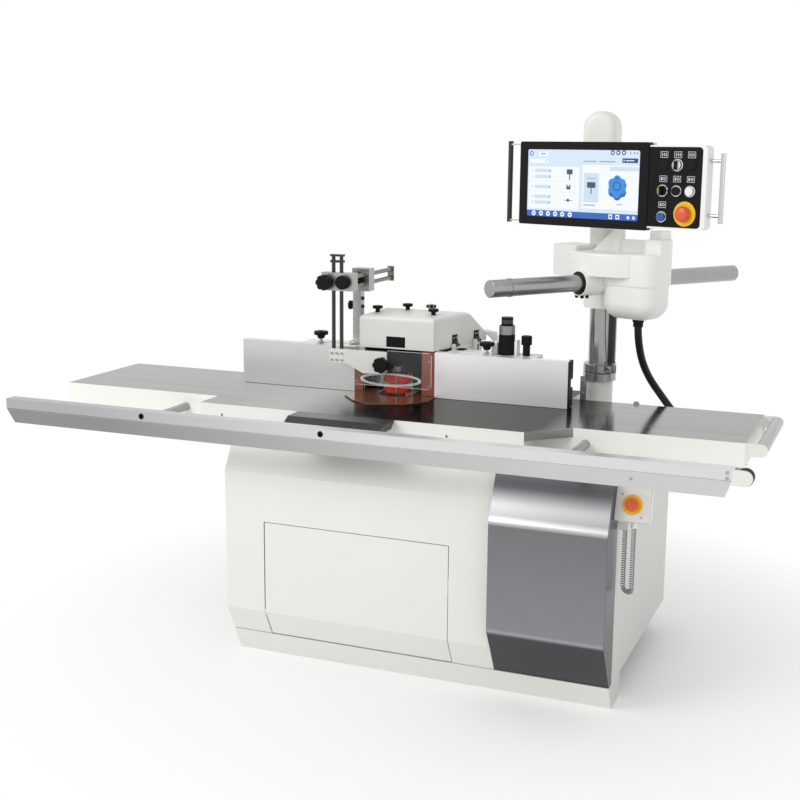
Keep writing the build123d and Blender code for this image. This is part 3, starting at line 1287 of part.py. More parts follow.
def hose_route():
    """Points that the hose follows from the head down to the base."""
    x, y, z = hose_start()
    end_x, end_y, end_z = HOSE_END
    return [(x, y, z), (x, y, HOSE_DROP), *HOSE_POINTS, (end_x, end_y, end_z + HOSE_LIFT), HOSE_END]


def hose():
    """Black hose that hangs from the head and drops to the base."""
    points = [Vector(*point) for point in hose_route()]
    radii = []
    for before, here, after in zip(points, points[1:], points[2:]):
        turn = math.radians((here - before).get_angle(after - here))
        shorter = min((here - before).length, (after - here).length)
        radii.append(0.45 * shorter / math.tan(turn / 2))
    path = FilletPolyline(*points, radius=radii)
    section = Plane(origin=path @ 0, z_dir=path % 0) * Circle(HOSE_R)
    tube = sweep(section, path=path)
    ideal = math.pi * HOSE_R ** 2 * path.length
    print("hose bend radii", [round(r) for r in radii], "volume ratio", round(tube.volume / ideal, 3))
    return tube


def cord_centre(length):
    """Point and direction of the curly cord's centreline at a distance from the box end."""
    (x0, y0, top0), (x1, y1, top1) = cord_ends()
    span = math.dist((x0, y0), (x1, y1))
    side = Vector((x1 - x0) / span, (y1 - y0) / span, 0)
    bend = span / 2
    down = top0 - CORD_LOW - bend
    start = Vector(x0, y0, top0)
    if length <= down:
        return start - Vector(0, 0, length), Vector(0, 0, -1), side
    arc = math.pi * bend
    if length <= down + arc:
        angle = (length - down) / bend
        centre = start + side * bend - Vector(0, 0, down)
        outward = side * -math.cos(angle) - Vector(0, 0, math.sin(angle))
        forward = side * math.sin(angle) - Vector(0, 0, math.cos(angle))
        return centre + outward * bend, forward, outward * -1
    rise = length - down - arc
    return start + side * span + Vector(0, 0, rise - down), Vector(0, 0, 1), side * -1


def cord_length():
    (x0, y0, top0), (x1, y1, top1) = cord_ends()
    bend = math.dist((x0, y0), (x1, y1)) / 2
    return (top0 - CORD_LOW - bend) + math.pi * bend + (top1 - CORD_LOW - bend)


def wound_point(step):
    """Point on the curly cord's wire, counted in half turns."""
    centre, forward, inward = cord_centre(cord_length() * step / (CORD_CURLS * 2))
    around = forward.cross(inward)
    angle = math.pi * step
    return centre + inward * (CORD_COIL_R * math.cos(angle)) + around * (CORD_COIL_R * math.sin(angle))


def wound_direction(step):
    last = CORD_CURLS * 2
    return (wound_point(min(step + 0.02, last)) - wound_point(max(step - 0.02, 0))).normalized()


def coil_arcs(first, last):
    """Tangent arcs that follow the wire between two half turns."""
    arcs = []
    tangent = wound_direction(first)
    for step in range(first, last):
        here = wound_point(step)
        there = wound_point(step + 1)
        ahead = wound_direction(step + 1)
        chord = there - here
        blend = chord.dot(tangent + ahead)
        scale = 2 * (1 - tangent.dot(ahead))
        reach = (-blend + math.sqrt(blend ** 2 + scale * chord.dot(chord))) / scale
        joint = (here + there + (tangent - ahead) * reach) * 0.5
        arcs.append(Edge.make_tangent_arc(here, tangent, joint))
        arcs.append(Edge.make_tangent_arc(joint, arcs[-1] % 1, there))
        tangent = arcs[-1] % 1
    return arcs


def coil_wire(first, last):
    """The wire between two half turns, swept along its arcs."""
    path = Wire(coil_arcs(first, last))
    section = Plane(origin=path @ 0, z_dir=path % 0) * Circle(CORD_WIRE_R)
    return sweep(section, path=path)


def self_gap(arcs, samples):
    """Least free distance between turns of the wire, measured on points of its arcs."""
    places = [arc @ (index / samples) for arc in arcs for index in range(samples)]
    points = [(place.X, place.Y, place.Z) for place in places]
    apart = 3 * samples
    least = min(math.dist(a, b) for index, a in enumerate(points) for b in points[index + apart:])
    return least - 2 * CORD_WIRE_R


def estop_cord():
    """Curly cord: one unbroken wire wound along its hanging centreline."""
    wire = coil_wire(0, CORD_CURLS * 2)
    gap = self_gap(coil_arcs(0, CORD_CURLS * 2), 6)
    length = wire.volume / (math.pi * CORD_WIRE_R ** 2)
    print("curly cord least self-gap", round(gap, 2), "wire length", round(length))
    return wire


PIECES = {
    "base_cabinet": base_cabinet,
    "front_panel": front_panel,
    "steel_cover": steel_cover,
    "front_door": front_door,
    "centre_table": centre_table,
    "left_extension": left_extension,
    "right_extension": right_extension,
    "front_lip": front_lip,
    "end_roller_brackets": end_roller_brackets,
    "end_roller": end_roller,
    "front_bar": front_bar,
    "bar_rods": bar_rods,
    "bar_end_bracket": bar_end_bracket,
    "bar_roller": bar_roller,
    "lift_frame": lift_frame,
    "spindle_quill": spindle_quill,
    "spindle_shaft": spindle_shaft,
    "cutter_head": cutter_head,
    "drive_motor": drive_motor,
    "motor_pulley": motor_pulley,
    "drive_belt": drive_belt,
    "fence_carriage": fence_carriage,
    "gap_apron": gap_apron,
    "left_fence": left_fence,
    "right_fence": right_fence,
    "left_gap_plate": left_gap_plate,
    "right_gap_plate": right_gap_plate,
    "left_fence_lock": lambda: fence_lock(LOCK_X[0]),
    "right_fence_lock": lambda: fence_lock(LOCK_X[1]),
    "depth_dial": depth_dial,
    "fine_knob": fine_knob,
    "hood": hood,
    "hood_knobs": hood_knobs,
    "guard_post": guard_post,
    "guard_arm": guard_arm,
    "guard_rods": guard_rods,
    "guard_bracket": guard_bracket,
    "presser_finger": presser_finger,
    "guard_height_knob": guard_height_knob,
    "guard_depth_knob": guard_depth_knob,
    "presser_knob": presser_knob,
    "column_foot": column_foot,
    "column_tube": column_tube,
    "head_casting": head_casting,
    "hose_gland": hose_gland,
    "feeder_tube": feeder_tube,
    "mast": mast,
    "panel_case": panel_case,
    "panel_handles": panel_handles,
    "panel_estop": panel_estop,
    "estop_box": estop_box,
    "base_estop": base_estop,
    "cable_glands": cable_glands,
    "hose": hose,
    "estop_cord": estop_cord,
}
for name, place in button_places().items():
    make = selector if name.endswith("selector") else push_button
    PIECES[name] = lambda make=make, place=place: make(place)


def main():
    """Build every piece and write it to its own file."""
    os.makedirs("parts", exist_ok=True)
    for name, make in PIECES.items():
        made = make()
        solids = [solid for piece in (made if isinstance(made, list) else [made]) for solid in piece.solids()]
        print(name, len(solids), "solids", round(sum(solid.volume for solid in solids)))
        export_step(Compound(children=solids), f"parts/{name}.step")


main()
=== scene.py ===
"""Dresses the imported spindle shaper: its finishes, cords, controls and small fittings, and the studio around it.

Sizes are written in millimetres in the part's own frame: X along the table, Y from the operator to the
rear, Z up. Every piece is scaled to metres when it is made.
"""

import logging
import math
from dataclasses import dataclass
from enum import Enum
from typing import Any, Iterable, Sequence

import bmesh
import bpy
from mathutils import Matrix, Vector

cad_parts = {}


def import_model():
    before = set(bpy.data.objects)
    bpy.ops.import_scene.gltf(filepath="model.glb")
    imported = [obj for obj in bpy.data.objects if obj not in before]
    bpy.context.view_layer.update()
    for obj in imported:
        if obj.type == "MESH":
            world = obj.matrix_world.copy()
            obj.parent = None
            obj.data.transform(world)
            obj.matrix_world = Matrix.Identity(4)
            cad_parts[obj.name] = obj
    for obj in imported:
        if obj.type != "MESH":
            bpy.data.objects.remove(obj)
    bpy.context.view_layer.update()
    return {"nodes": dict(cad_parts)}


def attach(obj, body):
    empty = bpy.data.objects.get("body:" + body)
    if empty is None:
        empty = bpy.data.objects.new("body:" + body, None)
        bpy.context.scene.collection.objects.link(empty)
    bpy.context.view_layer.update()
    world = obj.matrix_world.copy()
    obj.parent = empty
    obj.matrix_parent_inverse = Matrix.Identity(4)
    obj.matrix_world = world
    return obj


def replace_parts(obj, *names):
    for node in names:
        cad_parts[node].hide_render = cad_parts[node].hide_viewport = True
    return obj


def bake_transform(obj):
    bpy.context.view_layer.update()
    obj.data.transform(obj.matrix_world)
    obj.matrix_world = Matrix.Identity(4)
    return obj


LOG = logging.getLogger("spindle_shaper")
MM = 0.001
SHARP_ANGLE = math.radians(32)
ROUNDING_STEPS = 2
CORNER_STEPS = 4
CRISP = 0.05
FAR = 9000.0

Point = tuple[float, float, float]
Flat = tuple[float, float]
Tree = bpy.types.NodeTree


class Axis(Enum):
    """Directions that a round or drawn piece can lie along."""

    X = "X"
    Y = "Y"
    Z = "Z"

    def upright(self) -> Matrix:
        """Lays a shape that was made along Z along this axis.

        Returns:
            The turn that does it.
        """
        if self is Axis.X:
            return Matrix.Rotation(math.pi / 2, 4, "Y")
        if self is Axis.Y:
            return Matrix.Rotation(-math.pi / 2, 4, "X")
        return Matrix.Identity(4)


def linear(colour: str) -> tuple[float, float, float, float]:
    """Turns an sRGB hex colour into linear values.

    Args:
        colour: Six hex digits, with or without a leading #.

    Returns:
        Linear red, green and blue, with an alpha of 1.
    """
    digits = colour.lstrip("#")
    parts = [int(digits[at:at + 2], 16) / 255 for at in (0, 2, 4)]
    red, green, blue = (p / 12.92 if p <= 0.04045 else ((p + 0.055) / 1.055) ** 2.4 for p in parts)
    return red, green, blue, 1.0


def add(tree: Tree, kind: str, sockets: dict[Any, Any] | None = None, **settings: Any) -> Any:
    """Adds a shader node with its settings and links.

    Args:
        tree: Node tree that takes the node.
        kind: Node type without the ShaderNode prefix.
        sockets: Input names or places, each with a value or the output socket that feeds it.
        **settings: Properties of the node itself.

    Returns:
        The node.
    """
    made = tree.nodes.new("ShaderNode" + kind)
    for key, value in settings.items():
        setattr(made, key, value)
    for key, value in (sockets or {}).items():
        if isinstance(value, bpy.types.NodeSocket):
            tree.links.new(value, made.inputs[key])
        else:
            made.inputs[key].default_value = value
    return made


def blank(owner: Any) -> Tree:
    """Empties the node tree of a material or a world.

    Args:
        owner: The material or world.

    Returns:
        Its node tree.
    """
    owner.use_nodes = True
    owner.node_tree.nodes.clear()
    return owner.node_tree


def stand(name: str, data: Any) -> bpy.types.Object:
    """Sets an object in the scene.

    Args:
        name: Its name.
        data: Its mesh, curve, lamp or camera.

    Returns:
        The object.
    """
    made = bpy.data.objects.new(name, data)
    bpy.context.scene.collection.objects.link(made)
    return made


def mix(tree: Tree, mask: Any, under: Any, over: Any, kind: str = "MIX") -> Any:
    """Mixes two colours or two numbers by a mask.

    Args:
        tree: Node tree of the material.
        mask: Socket that is 0 for the first and 1 for the second.
        under: First value or socket.
        over: Second value or socket. One of the two is a tuple where they are colours.
        kind: How colours are blended.

    Returns:
        The mixed socket.
    """
    if isinstance(under, tuple) or isinstance(over, tuple):
        return add(tree, "Mix", {0: mask, 6: under, 7: over}, data_type="RGBA", blend_type=kind).outputs[2]
    return add(tree, "Mix", {0: mask, 2: under, 3: over}).outputs[0]


def per_metre(millimetres: float) -> float:
    """Noise scale that repeats about once in that many millimetres."""
    return 1 / (millimetres * MM)


def noise(tree: Tree, size_mm: float, detail: float) -> Any:
    """Socket of a noise that repeats about once in that many millimetres."""
    place = add(tree, "TexCoord").outputs["Object"]
    return add(tree, "TexNoise", {"Vector": place, "Scale": per_metre(size_mm), "Detail": detail}).outputs["Fac"]


def gloss(tree: Tree, shader: Any, value: Any, ends: Flat, span: Flat = (0.0, 1.0)) -> None:
    """Swings a shader's roughness with a pattern.

    Args:
        tree: Node tree of the material.
        shader: Its principled shader.
        value: Socket of the pattern.
        ends: Roughness at the two ends of the span.
        span: Values of the pattern between which the roughness swings.
    """
    ranged = add(tree, "MapRange", {"Value": value, "From Min": span[0], "From Max": span[1], "To Min": ends[0],
                                    "To Max": ends[1]})
    tree.links.new(ranged.outputs["Result"], shader.inputs["Roughness"])


def relief(tree: Tree, shader: Any, height: Any, strength: float, depth_mm: float) -> None:
    """Raises a shader's surface by a height socket."""
    bump = add(tree, "Bump", {"Height": height, "Strength": strength, "Distance": depth_mm * MM})
    tree.links.new(bump.outputs["Normal"], shader.inputs["Normal"])


def ramp(tree: Tree, value: Any, level: float, soft: float, ends: Flat = (0.0, 1.0)) -> Any:
    """Socket that passes from one end value to the other around a level in millimetres."""
    return add(tree, "MapRange", {"Value": value, "From Min": (level - soft) * MM, "From Max": (level + soft) * MM,
                                  "To Min": ends[0], "To Max": ends[1]}).outputs["Result"]


@dataclass(frozen=True)
class Finish:
    """A plain surface that the other finishes add their pattern to."""

    name: str
    colour: str
    roughness: float = 0.5

    def material(self) -> bpy.types.Material:
        """Makes the material once and hands out the same one afterwards.

        Returns:
            The material.
        """
        made = bpy.data.materials.get(self.name)
        if made is not None:
            return made
        made = bpy.data.materials.new(self.name)
        tree = blank(made)
        shader = add(tree, "BsdfPrincipled", {"Base Color": linear(self.colour), "Roughness": self.roughness})
        self.pattern(tree, shader)
        add(tree, "OutputMaterial", {"Surface": shader.outputs["BSDF"]})
        return made

    def pattern(self, tree: Tree, shader: Any) -> None:
        """Adds this finish's own nodes to a shader.

        Args:
            tree: Node tree of the material.
            shader: Its principled shader.
        """


@dataclass(frozen=True)
class PowderCoat(Finish):
    """Baked powder paint: an even colour with a fine orange peel that softens each highlight."""

    shade: str = "#D6D6D0"
    peel_mm: float = 7.0
    depth_mm: float = 0.05
    cloud_mm: float = 420.0
    swing: Flat = (-0.05, 0.08)
    strength: float = 0.25

    def pattern(self, tree: Tree, shader: Any) -> None:
        """Adds the peel and a faint drift of tone.

        Args:
            tree: Node tree of the material.
            shader: Its principled shader.
        """
        cloud = noise(tree, self.cloud_mm, 3.0)
        tree.links.new(mix(tree, cloud, linear(self.colour), linear(self.shade)), shader.inputs["Base Color"])
        gloss(tree, shader, cloud, (self.roughness + self.swing[0], self.roughness + self.swing[1]))
        relief(tree, shader, noise(tree, self.peel_mm, 1.0), self.strength, self.depth_mm)


@dataclass(frozen=True)
class Brushed(Finish):
    """Metal with fine lines along one axis, drawn coarse enough to show at the photograph's distance."""

    grain: Axis = Axis.X
    shade: str = "#8A8A8A"
    line_mm: float = 3.0
    run_mm: float = 260.0
    swing: float = 0.08
    depth_mm: float = 0.02
    strength: float = 0.2

    def lines(self, tree: Tree) -> Any:
        """Draws a noise out along the grain.

        Args:
            tree: Node tree of the material.

        Returns:
            Socket of the noise.
        """
        along, across = per_metre(self.run_mm), per_metre(self.line_mm)
        scale = tuple(along if axis is self.grain else across for axis in Axis)
        drawn = add(tree, "Mapping", {"Vector": add(tree, "TexCoord").outputs["Object"], "Scale": scale})
        return add(tree, "TexNoise", {"Vector": drawn.outputs["Vector"], "Scale": 1.0, "Detail": 4.0,
                                      "Roughness": 0.65}).outputs["Fac"]

    def pattern(self, tree: Tree, shader: Any) -> None:
        """Adds the brush lines to colour, roughness and relief.

        Args:
            tree: Node tree of the material.
            shader: Its principled shader.
        """
        shader.inputs["Metallic"].default_value = 1.0
        lines = self.lines(tree)
        tree.links.new(mix(tree, lines, linear(self.colour), linear(self.shade)), shader.inputs["Base Color"])
        gloss(tree, shader, lines, (self.roughness - self.swing, self.roughness + self.swing), (0.25, 0.75))
        relief(tree, shader, lines, self.strength, self.depth_mm)


@dataclass(frozen=True)
class Moulded(Finish):
    """Moulded plastic or rubber with a fine spark-eroded grain."""

    grain_mm: float = 2.0
    depth_mm: float = 0.04
    ior: float = 1.5
    swing: float = 0.06
    smoothest: float = 0.02
    strength: float = 0.3

    def pattern(self, tree: Tree, shader: Any) -> None:
        """Adds the grain and a slight change of gloss.

        Args:
            tree: Node tree of the material.
            shader: Its principled shader.
        """
        shader.inputs["IOR"].default_value = self.ior
        grain = noise(tree, self.grain_mm, 2.0)
        gloss(tree, shader, grain, (max(self.roughness - self.swing, self.smoothest), self.roughness + self.swing))
        relief(tree, shader, grain, self.strength, self.depth_mm)


@dataclass(frozen=True)
class Lit(Finish):
    """Backlit glass of the screen: it gives off its own colour."""

    def pattern(self, tree: Tree, shader: Any) -> None:
        """Turns the colour into light.

        Args:
            tree: Node tree of the material.
            shader: Its principled shader.
        """
        shader.inputs["Base Color"].default_value = (0.0, 0.0, 0.0, 1.0)
        shader.inputs["Emission Color"].default_value = linear(self.colour)
        shader.inputs["Emission Strength"].default_value = 1.0


@dataclass(frozen=True)
class GroundTop(Brushed):
    """Cast iron ground bright on top, with painted sides."""

    paint: str = "#F3F3EE"
    paint_roughness: float = 0.45
    level_limit: float = 0.9

    def pattern(self, tree: Tree, shader: Any) -> None:
        """Adds ground lines where the face looks up and paint elsewhere.

        Args:
            tree: Node tree of the material.
            shader: Its principled shader.
        """
        super().pattern(tree, shader)
        lines, rough = (shader.inputs[name].links[0].from_socket for name in ("Base Color", "Roughness"))
        facing = add(tree, "SeparateXYZ", {"Vector": add(tree, "TexCoord").outputs["Normal"]}).outputs["Z"]
        top = add(tree, "Math", {0: facing, 1: self.level_limit}, operation="GREATER_THAN").outputs[0]
        tree.links.new(mix(tree, top, linear(self.paint), lines), shader.inputs["Base Color"])
        tree.links.new(top, shader.inputs["Metallic"])
        tree.links.new(mix(tree, top, self.paint_roughness, rough), shader.inputs["Roughness"])


@dataclass(frozen=True)
class Clear(Finish):
    """Clear acrylic sheet that covers only a little of what lies behind it."""

    cover: float = 0.1

    def pattern(self, tree: Tree, shader: Any) -> None:
        """Lets what lies behind show through."""
        shader.inputs["Alpha"].default_value = self.cover


class Measure(Enum):
    """What a zone of a surface is marked off by."""

    X = 0
    Y = 1
    Z = 2
    RADIUS = 3


@dataclass(frozen=True)
class Zone:
    """Part of a surface between two values, in millimetres of a local frame."""

    measure: Measure
    low: float
    high: float
    soft: float = CRISP

    def mask(self, tree: Tree, place: Any) -> Any:
        """Marks the zone.

        Args:
            tree: Node tree of the material.
            place: Socket with the place in the local frame.

        Returns:
            Socket that is 1 inside the zone and 0 outside.
        """
        if self.measure is Measure.RADIUS:
            flat = add(tree, "VectorMath", {0: place, 1: (1, 1, 0)}, operation="MULTIPLY")
            value = add(tree, "VectorMath", {0: flat.outputs[0]}, operation="LENGTH").outputs["Value"]
        else:
            value = add(tree, "SeparateXYZ", {"Vector": place}).outputs[self.measure.value]
        rise = ramp(tree, value, self.low, self.soft)
        fall = ramp(tree, value, self.high, self.soft, (1.0, 0.0))
        return add(tree, "Math", {0: rise, 1: fall}, operation="MULTIPLY").outputs[0]


def below(measure: Measure, level: float, soft: float = CRISP) -> Zone:
    """Zone of all that lies under a level."""
    return Zone(measure, -FAR, level, soft)


def above(measure: Measure, level: float, soft: float = CRISP) -> Zone:
    """Zone of all that lies over a level."""
    return Zone(measure, level, FAR, soft)


@dataclass(frozen=True)
class Rounded:
    """A rectangle with round corners, looked at along Y, in millimetres of a local frame."""

    low: Flat
    high: Flat
    corner: float

    def mask(self, tree: Tree, place: Any) -> Any:
        """Marks the rectangle.

        Args:
            tree: Node tree of the material.
            place: Socket with the place in the local frame.

        Returns:
            Socket that is 1 inside the rectangle and 0 outside.
        """
        pairs = list(zip(self.low, self.high))
        centre = [(a + b) / 2 * MM for a, b in pairs]
        reach = [((b - a) / 2 - self.corner) * MM for a, b in pairs]
        steps = (("SUBTRACT", (centre[0], 0, centre[1])), ("MULTIPLY", (1, 0, 1)), ("ABSOLUTE", None),
                 ("SUBTRACT", (reach[0], 0, reach[1])), ("MAXIMUM", (0, 0, 0)))
        for operation, value in steps:
            inputs = {0: place} if value is None else {0: place, 1: value}
            place = add(tree, "VectorMath", inputs, operation=operation).outputs[0]
        past = add(tree, "VectorMath", {0: place}, operation="LENGTH").outputs["Value"]
        return ramp(tree, past, self.corner, CRISP, (1.0, 0.0))


@dataclass(frozen=True)
class Patch:
    """A second finish on one solid, in the zones that it covers.

    A multiplied patch lets the pattern below show through, and glance tints reflections at a low angle.
    """

    colour: str
    roughness: float
    metallic: float
    zones: tuple[Zone | Rounded, ...]
    origin: Point = (0.0, 0.0, 0.0)
    turn: float = 0.0
    glance: str = "#FFFFFF"
    multiplied: bool = False

    def mask(self, tree: Tree) -> Any:
        """Marks where all the zones meet.

        Args:
            tree: Node tree of the material.

        Returns:
            Socket that is 1 there and 0 elsewhere.
        """
        place = add(tree, "Mapping", {"Vector": add(tree, "TexCoord").outputs["Object"],
                                      "Location": tuple(c * MM for c in self.origin),
                                      "Rotation": (0, 0, math.radians(self.turn))}, vector_type="TEXTURE")
        first, *others = (zone.mask(tree, place.outputs["Vector"]) for zone in self.zones)
        for other in others:
            first = add(tree, "Math", {0: first, 1: other}, operation="MULTIPLY").outputs[0]
        return first

    def cover(self, tree: Tree, shader: Any) -> None:
        """Mixes the patch into a shader where it differs from what lies there.

        Args:
            tree: Node tree of the material.
            shader: Its principled shader.
        """
        mask = self.mask(tree)
        for name, value in (("Base Color", linear(self.colour)), ("Roughness", self.roughness),
                            ("Metallic", self.metallic), ("Specular Tint", linear(self.glance))):
            socket = shader.inputs[name]
            if socket.is_linked:
                under = socket.links[0].from_socket
            elif isinstance(value, tuple):
                under = tuple(socket.default_value)
            else:
                under = round(socket.default_value, 6)
            if under != value:
                tree.links.new(mix(tree, mask, under, value, "MULTIPLY" if self.multiplied else "MIX"), socket)


@dataclass(frozen=True)
class Zoned(Finish):
    """A solid that carries more than one finish, parted where the real pieces meet, with patches of painted light and
    shade on some solids.
    """

    base: Finish | None = None
    patches: tuple[Patch, ...] = ()

    def pattern(self, tree: Tree, shader: Any) -> None:
        """Lays each patch over the base finish.

        Args:
            tree: Node tree of the material.
            shader: Its principled shader.
        """
        self.base.pattern(tree, shader)
        for patch in self.patches:
            patch.cover(tree, shader)


def zoned(name: str, base: Finish, *patches: Patch) -> Zoned:
    """A zoned finish over a base, with the base's own colour and roughness."""
    return Zoned(name, base.colour, base.roughness, base, patches)


PANEL_AT: Point = (650.0, -60.0, 1663.0)
PANEL_YAW = -20.8
HOOD_CORNER: Point = (-91.0, -62.0, 0.0)
HOOD_TURN = 77.3
COLUMN_AT: Point = (450.0, 208.0, 0.0)
HEAD_TURN = 54.9
CABINET_SIDE = 679.0
TABLE_UNDER = 899.4
BAR_FOLD = 863.0

# Powder paint baked on sheet steel: even off-white with a soft broken highlight.
WHITE_PAINT = PowderCoat("off_white_powder_coat", "#EBEBE6", 0.4, "#E5E5DF")
# Paint on a sand casting: the same white over a coarser skin, so highlights wander a little.
CAST_PAINT = PowderCoat("off_white_painted_casting", "#F4F4F0", 0.36, "#EEEEE9", peel_mm=16.0, depth_mm=0.12)
# Ground cast iron: long pale streaks along the grinding that mirror what stands on the table.
GROUND_IRON = GroundTop("ground_cast_iron_and_paint", "#8C8C8B", 0.15, shade="#686867", line_mm=26.0, run_mm=900.0,
                        swing=0.035, depth_mm=0.006)
# Stainless sheet with a fine brushed grain: a dull grey, with painted highlights along its bends laid over it on the
# cover.
COVER_STEEL = Brushed("brushed_stainless_sheet", "#97989B", 0.34, shade="#808184", line_mm=2.0, run_mm=120.0)
# Drawn and satin anodised aluminium: pale, even, with faint draw lines.
FENCE_ALUMINIUM = Brushed("satin_anodised_aluminium", "#E2E2E1", 0.36, shade="#CECECD", line_mm=3.5, run_mm=300.0,
                          swing=0.05)
# The bar is drawn from the same metal and etched, with finer lines.
BAR_ALUMINIUM = Brushed("etched_anodised_aluminium", "#E1E1E1", 0.34, shade="#D3D3D3", line_mm=2.5, run_mm=300.0,
                        swing=0.05)
# Turned and anodised tube: a darker satin that rolls off into its lower half.
TUBE_ALUMINIUM = Brushed("anodised_aluminium_tube", "#ACACAA", 0.28, shade="#9C9C9A", line_mm=60.0, run_mm=60.0,
                         swing=0.02, depth_mm=0.002)
# Die-cast aluminium of the guard clamp: grey with a tumbled, slightly uneven gloss.
DIE_CAST = Brushed("tumbled_die_cast_aluminium", "#B8B8B6", 0.32, shade="#949492", line_mm=8.0, run_mm=12.0)
# Blackened and ground steel: nearly black with pale scratches along its length.
LIP_STEEL = Brushed("blackened_ground_steel", "#434343", 0.3, shade="#2C2C2C", line_mm=4.0, run_mm=200.0)
# Hard chrome on a ground bar: a clean mirror with hardly a line.
CHROME = Brushed("hard_chromed_steel", "#D2D3D5", 0.14, grain=Axis.Z, shade="#BFC0C2", swing=0.04)
# The same chrome on the stout column, drawn greyer as a painted darker reflection.
COLUMN_CHROME = Brushed("chromed_column_with_painted_dark_reflection", "#A9A9A8", 0.16, grain=Axis.Z, shade="#929291", swing=0.04)
# Polished silver steel drawn dark as a painted dark reflection: dark down the middle of a rod and bright at its edges.
ROD_STEEL = Brushed("polished_steel_with_painted_dark_reflection", "#4C4C48", 0.13, grain=Axis.Z, shade="#3C3C39", swing=0.04)
# Bright turned steel: fine rings that break the highlight.
BRIGHT_STEEL = Brushed("turned_bright_steel", "#B5B5B6", 0.26, grain=Axis.Y, shade="#8F8F90")
# Turned machine steel: duller, with an oiled grey.
TURNED_STEEL = Brushed("turned_machine_steel", "#9C9C9D", 0.32, shade="#7C7C7D")
# Bright zinc plate: a bluish silver with small spangles.
ZINC = Brushed("zinc_plated_steel", "#C6C8CA", 0.3, grain=Axis.Z, shade="#9A9C9F", line_mm=9.0, run_mm=14.0)
# Glass-filled nylon: matt black with a fine moulded grain.
BLACK_PLASTIC = Moulded("black_glass_filled_nylon", "#0D0D0E", 0.5, ior=1.25)
# Moulded case: clean white with a silky grain.
CASE_PLASTIC = Moulded("white_moulded_case", "#F1F1EE", 0.4, grain_mm=3.0, ior=1.25)
# Polished acrylic sheet: deep glossy black.
BEZEL = Moulded("black_acrylic_bezel", "#060607", 0.18, depth_mm=0.005, ior=1.3)
# Resin-bonded paper laminate: red-brown with a pressed gloss.
PHENOLIC = Moulded("brown_phenolic_laminate", "#8E4B38", 0.26, grain_mm=5.0)
# The same laminate lying flat, drawn darker as painted shade.
APRON_PHENOLIC = Moulded("phenolic_laminate_with_painted_shade", "#6B4530", 0.2, grain_mm=6.0)
# Stoved enamel on the cutter: strong red with a soft gloss.
CUTTER_RED = PowderCoat("red_stoved_enamel", "#D93A28", 0.3, "#C42A1C", peel_mm=4.0)
# Polycarbonate caps: clear bright colours with a smooth moulded gloss.
STOP_RED = Moulded("orange_red_polycarbonate", "#DF5A30", 0.34, depth_mm=0.01)
STOP_YELLOW = Moulded("yellow_polycarbonate", "#F2BE18", 0.36, depth_mm=0.01)
BUTTON_WHITE = Moulded("white_polycarbonate", "#ECECEA", 0.3, depth_mm=0.01)
BUTTON_BLUE = Moulded("blue_polycarbonate", "#2A4FA0", 0.3, depth_mm=0.01)
# Nitrile rubber: matt black with a soft sheen along the hose.
RUBBER = Moulded("black_nitrile_rubber", "#151516", 0.5, grain_mm=4.0, depth_mm=0.1, ior=1.35)
# Polyurethane cord sheath: grey and slightly waxy.
CORD_GREY = Moulded("grey_polyurethane_sheath", "#A8AAA6", 0.42)
# Motor enamel: blue-grey sprayed over ribbed iron.
MOTOR_PAINT = PowderCoat("blue_grey_motor_enamel", "#50565E", 0.5, "#474C53")
# Polished acrylic: so clear that little but its edges shows.
ACRYLIC = Clear("polished_clear_acrylic_sheet", "#F2F6F6", 0.05, 0.03)
# The cut edges of the same sheet, which gather light and show as pale lines.
ACRYLIC_EDGE = Clear("cut_edge_of_clear_acrylic", "#F4F7F7", 0.12, 0.42)
# Silk-screen ink: flat pale grey on the black face.
PRINT = Moulded("white_silk_screen_print", "#C9CBCE", 0.5, depth_mm=0.005)
# Backlit glass of the screen, one colour for each kind of mark.
GLASS_PALE = Lit("backlit_pale_blue_glass", "#D6E6F6", 0.2)
GLASS_WHITE = Lit("backlit_white_glass", "#F3F7FB", 0.2)
GLASS_TINT = Lit("backlit_tinted_glass", "#CDDFEF", 0.2)
GLASS_GREY = Lit("backlit_grey_glass", "#9AA9BA", 0.2)
GLASS_NAVY = Lit("backlit_navy_glass", "#1F3F92", 0.2)
GLASS_BLUE = Lit("backlit_blue_glass", "#2B63B8", 0.2)
GLASS_AZURE = Lit("backlit_azure_glass", "#2F8FDB", 0.2)
GLASS_SLATE = Lit("backlit_slate_glass", "#43516A", 0.2)

# White case with the monitor's black shell at its left and a black control face.
PANEL_SKIN = zoned(
    "white_case_with_black_monitor", CASE_PLASTIC,
    Patch("#08080A", 0.3, 0.0, (below(Measure.X, 0.5), below(Measure.Y, 24.0)), PANEL_AT, PANEL_YAW),
    Patch("#09090B", 0.34, 0.0, (Rounded((-60.0, -128.0), (197.0, 128.5), 14.0), below(Measure.Y, 0.4)),
          PANEL_AT, PANEL_YAW))
# Chromed bars at the right of the panel and a black grip at its left.
HANDLE_SKIN = zoned("chromed_bars_and_black_grip", CHROME, Patch(
    "#1B1B1D", 0.4, 0.0, (below(Measure.X, -575.5),), PANEL_AT, PANEL_YAW))
# Chromed column with the blackened rack on its side.
COLUMN_SKIN = zoned("chromed_column_and_black_rack", COLUMN_CHROME, Patch(
    "#161618", 0.5, 0.0, (Zone(Measure.RADIUS, 42.4, 80.0), above(Measure.Z, 1027.0)), COLUMN_AT))
# Black dial with a bare scale ring and a darker one over it.
DIAL_SKIN = zoned("black_dial_with_steel_ring", BLACK_PLASTIC,
                  Patch("#9A9A98", 0.35, 1.0, (Zone(Measure.Z, 1133.5, 1164.5),)),
                  Patch("#4A4A4A", 0.3, 1.0, (Zone(Measure.Z, 1172.0, 1186.0),)))
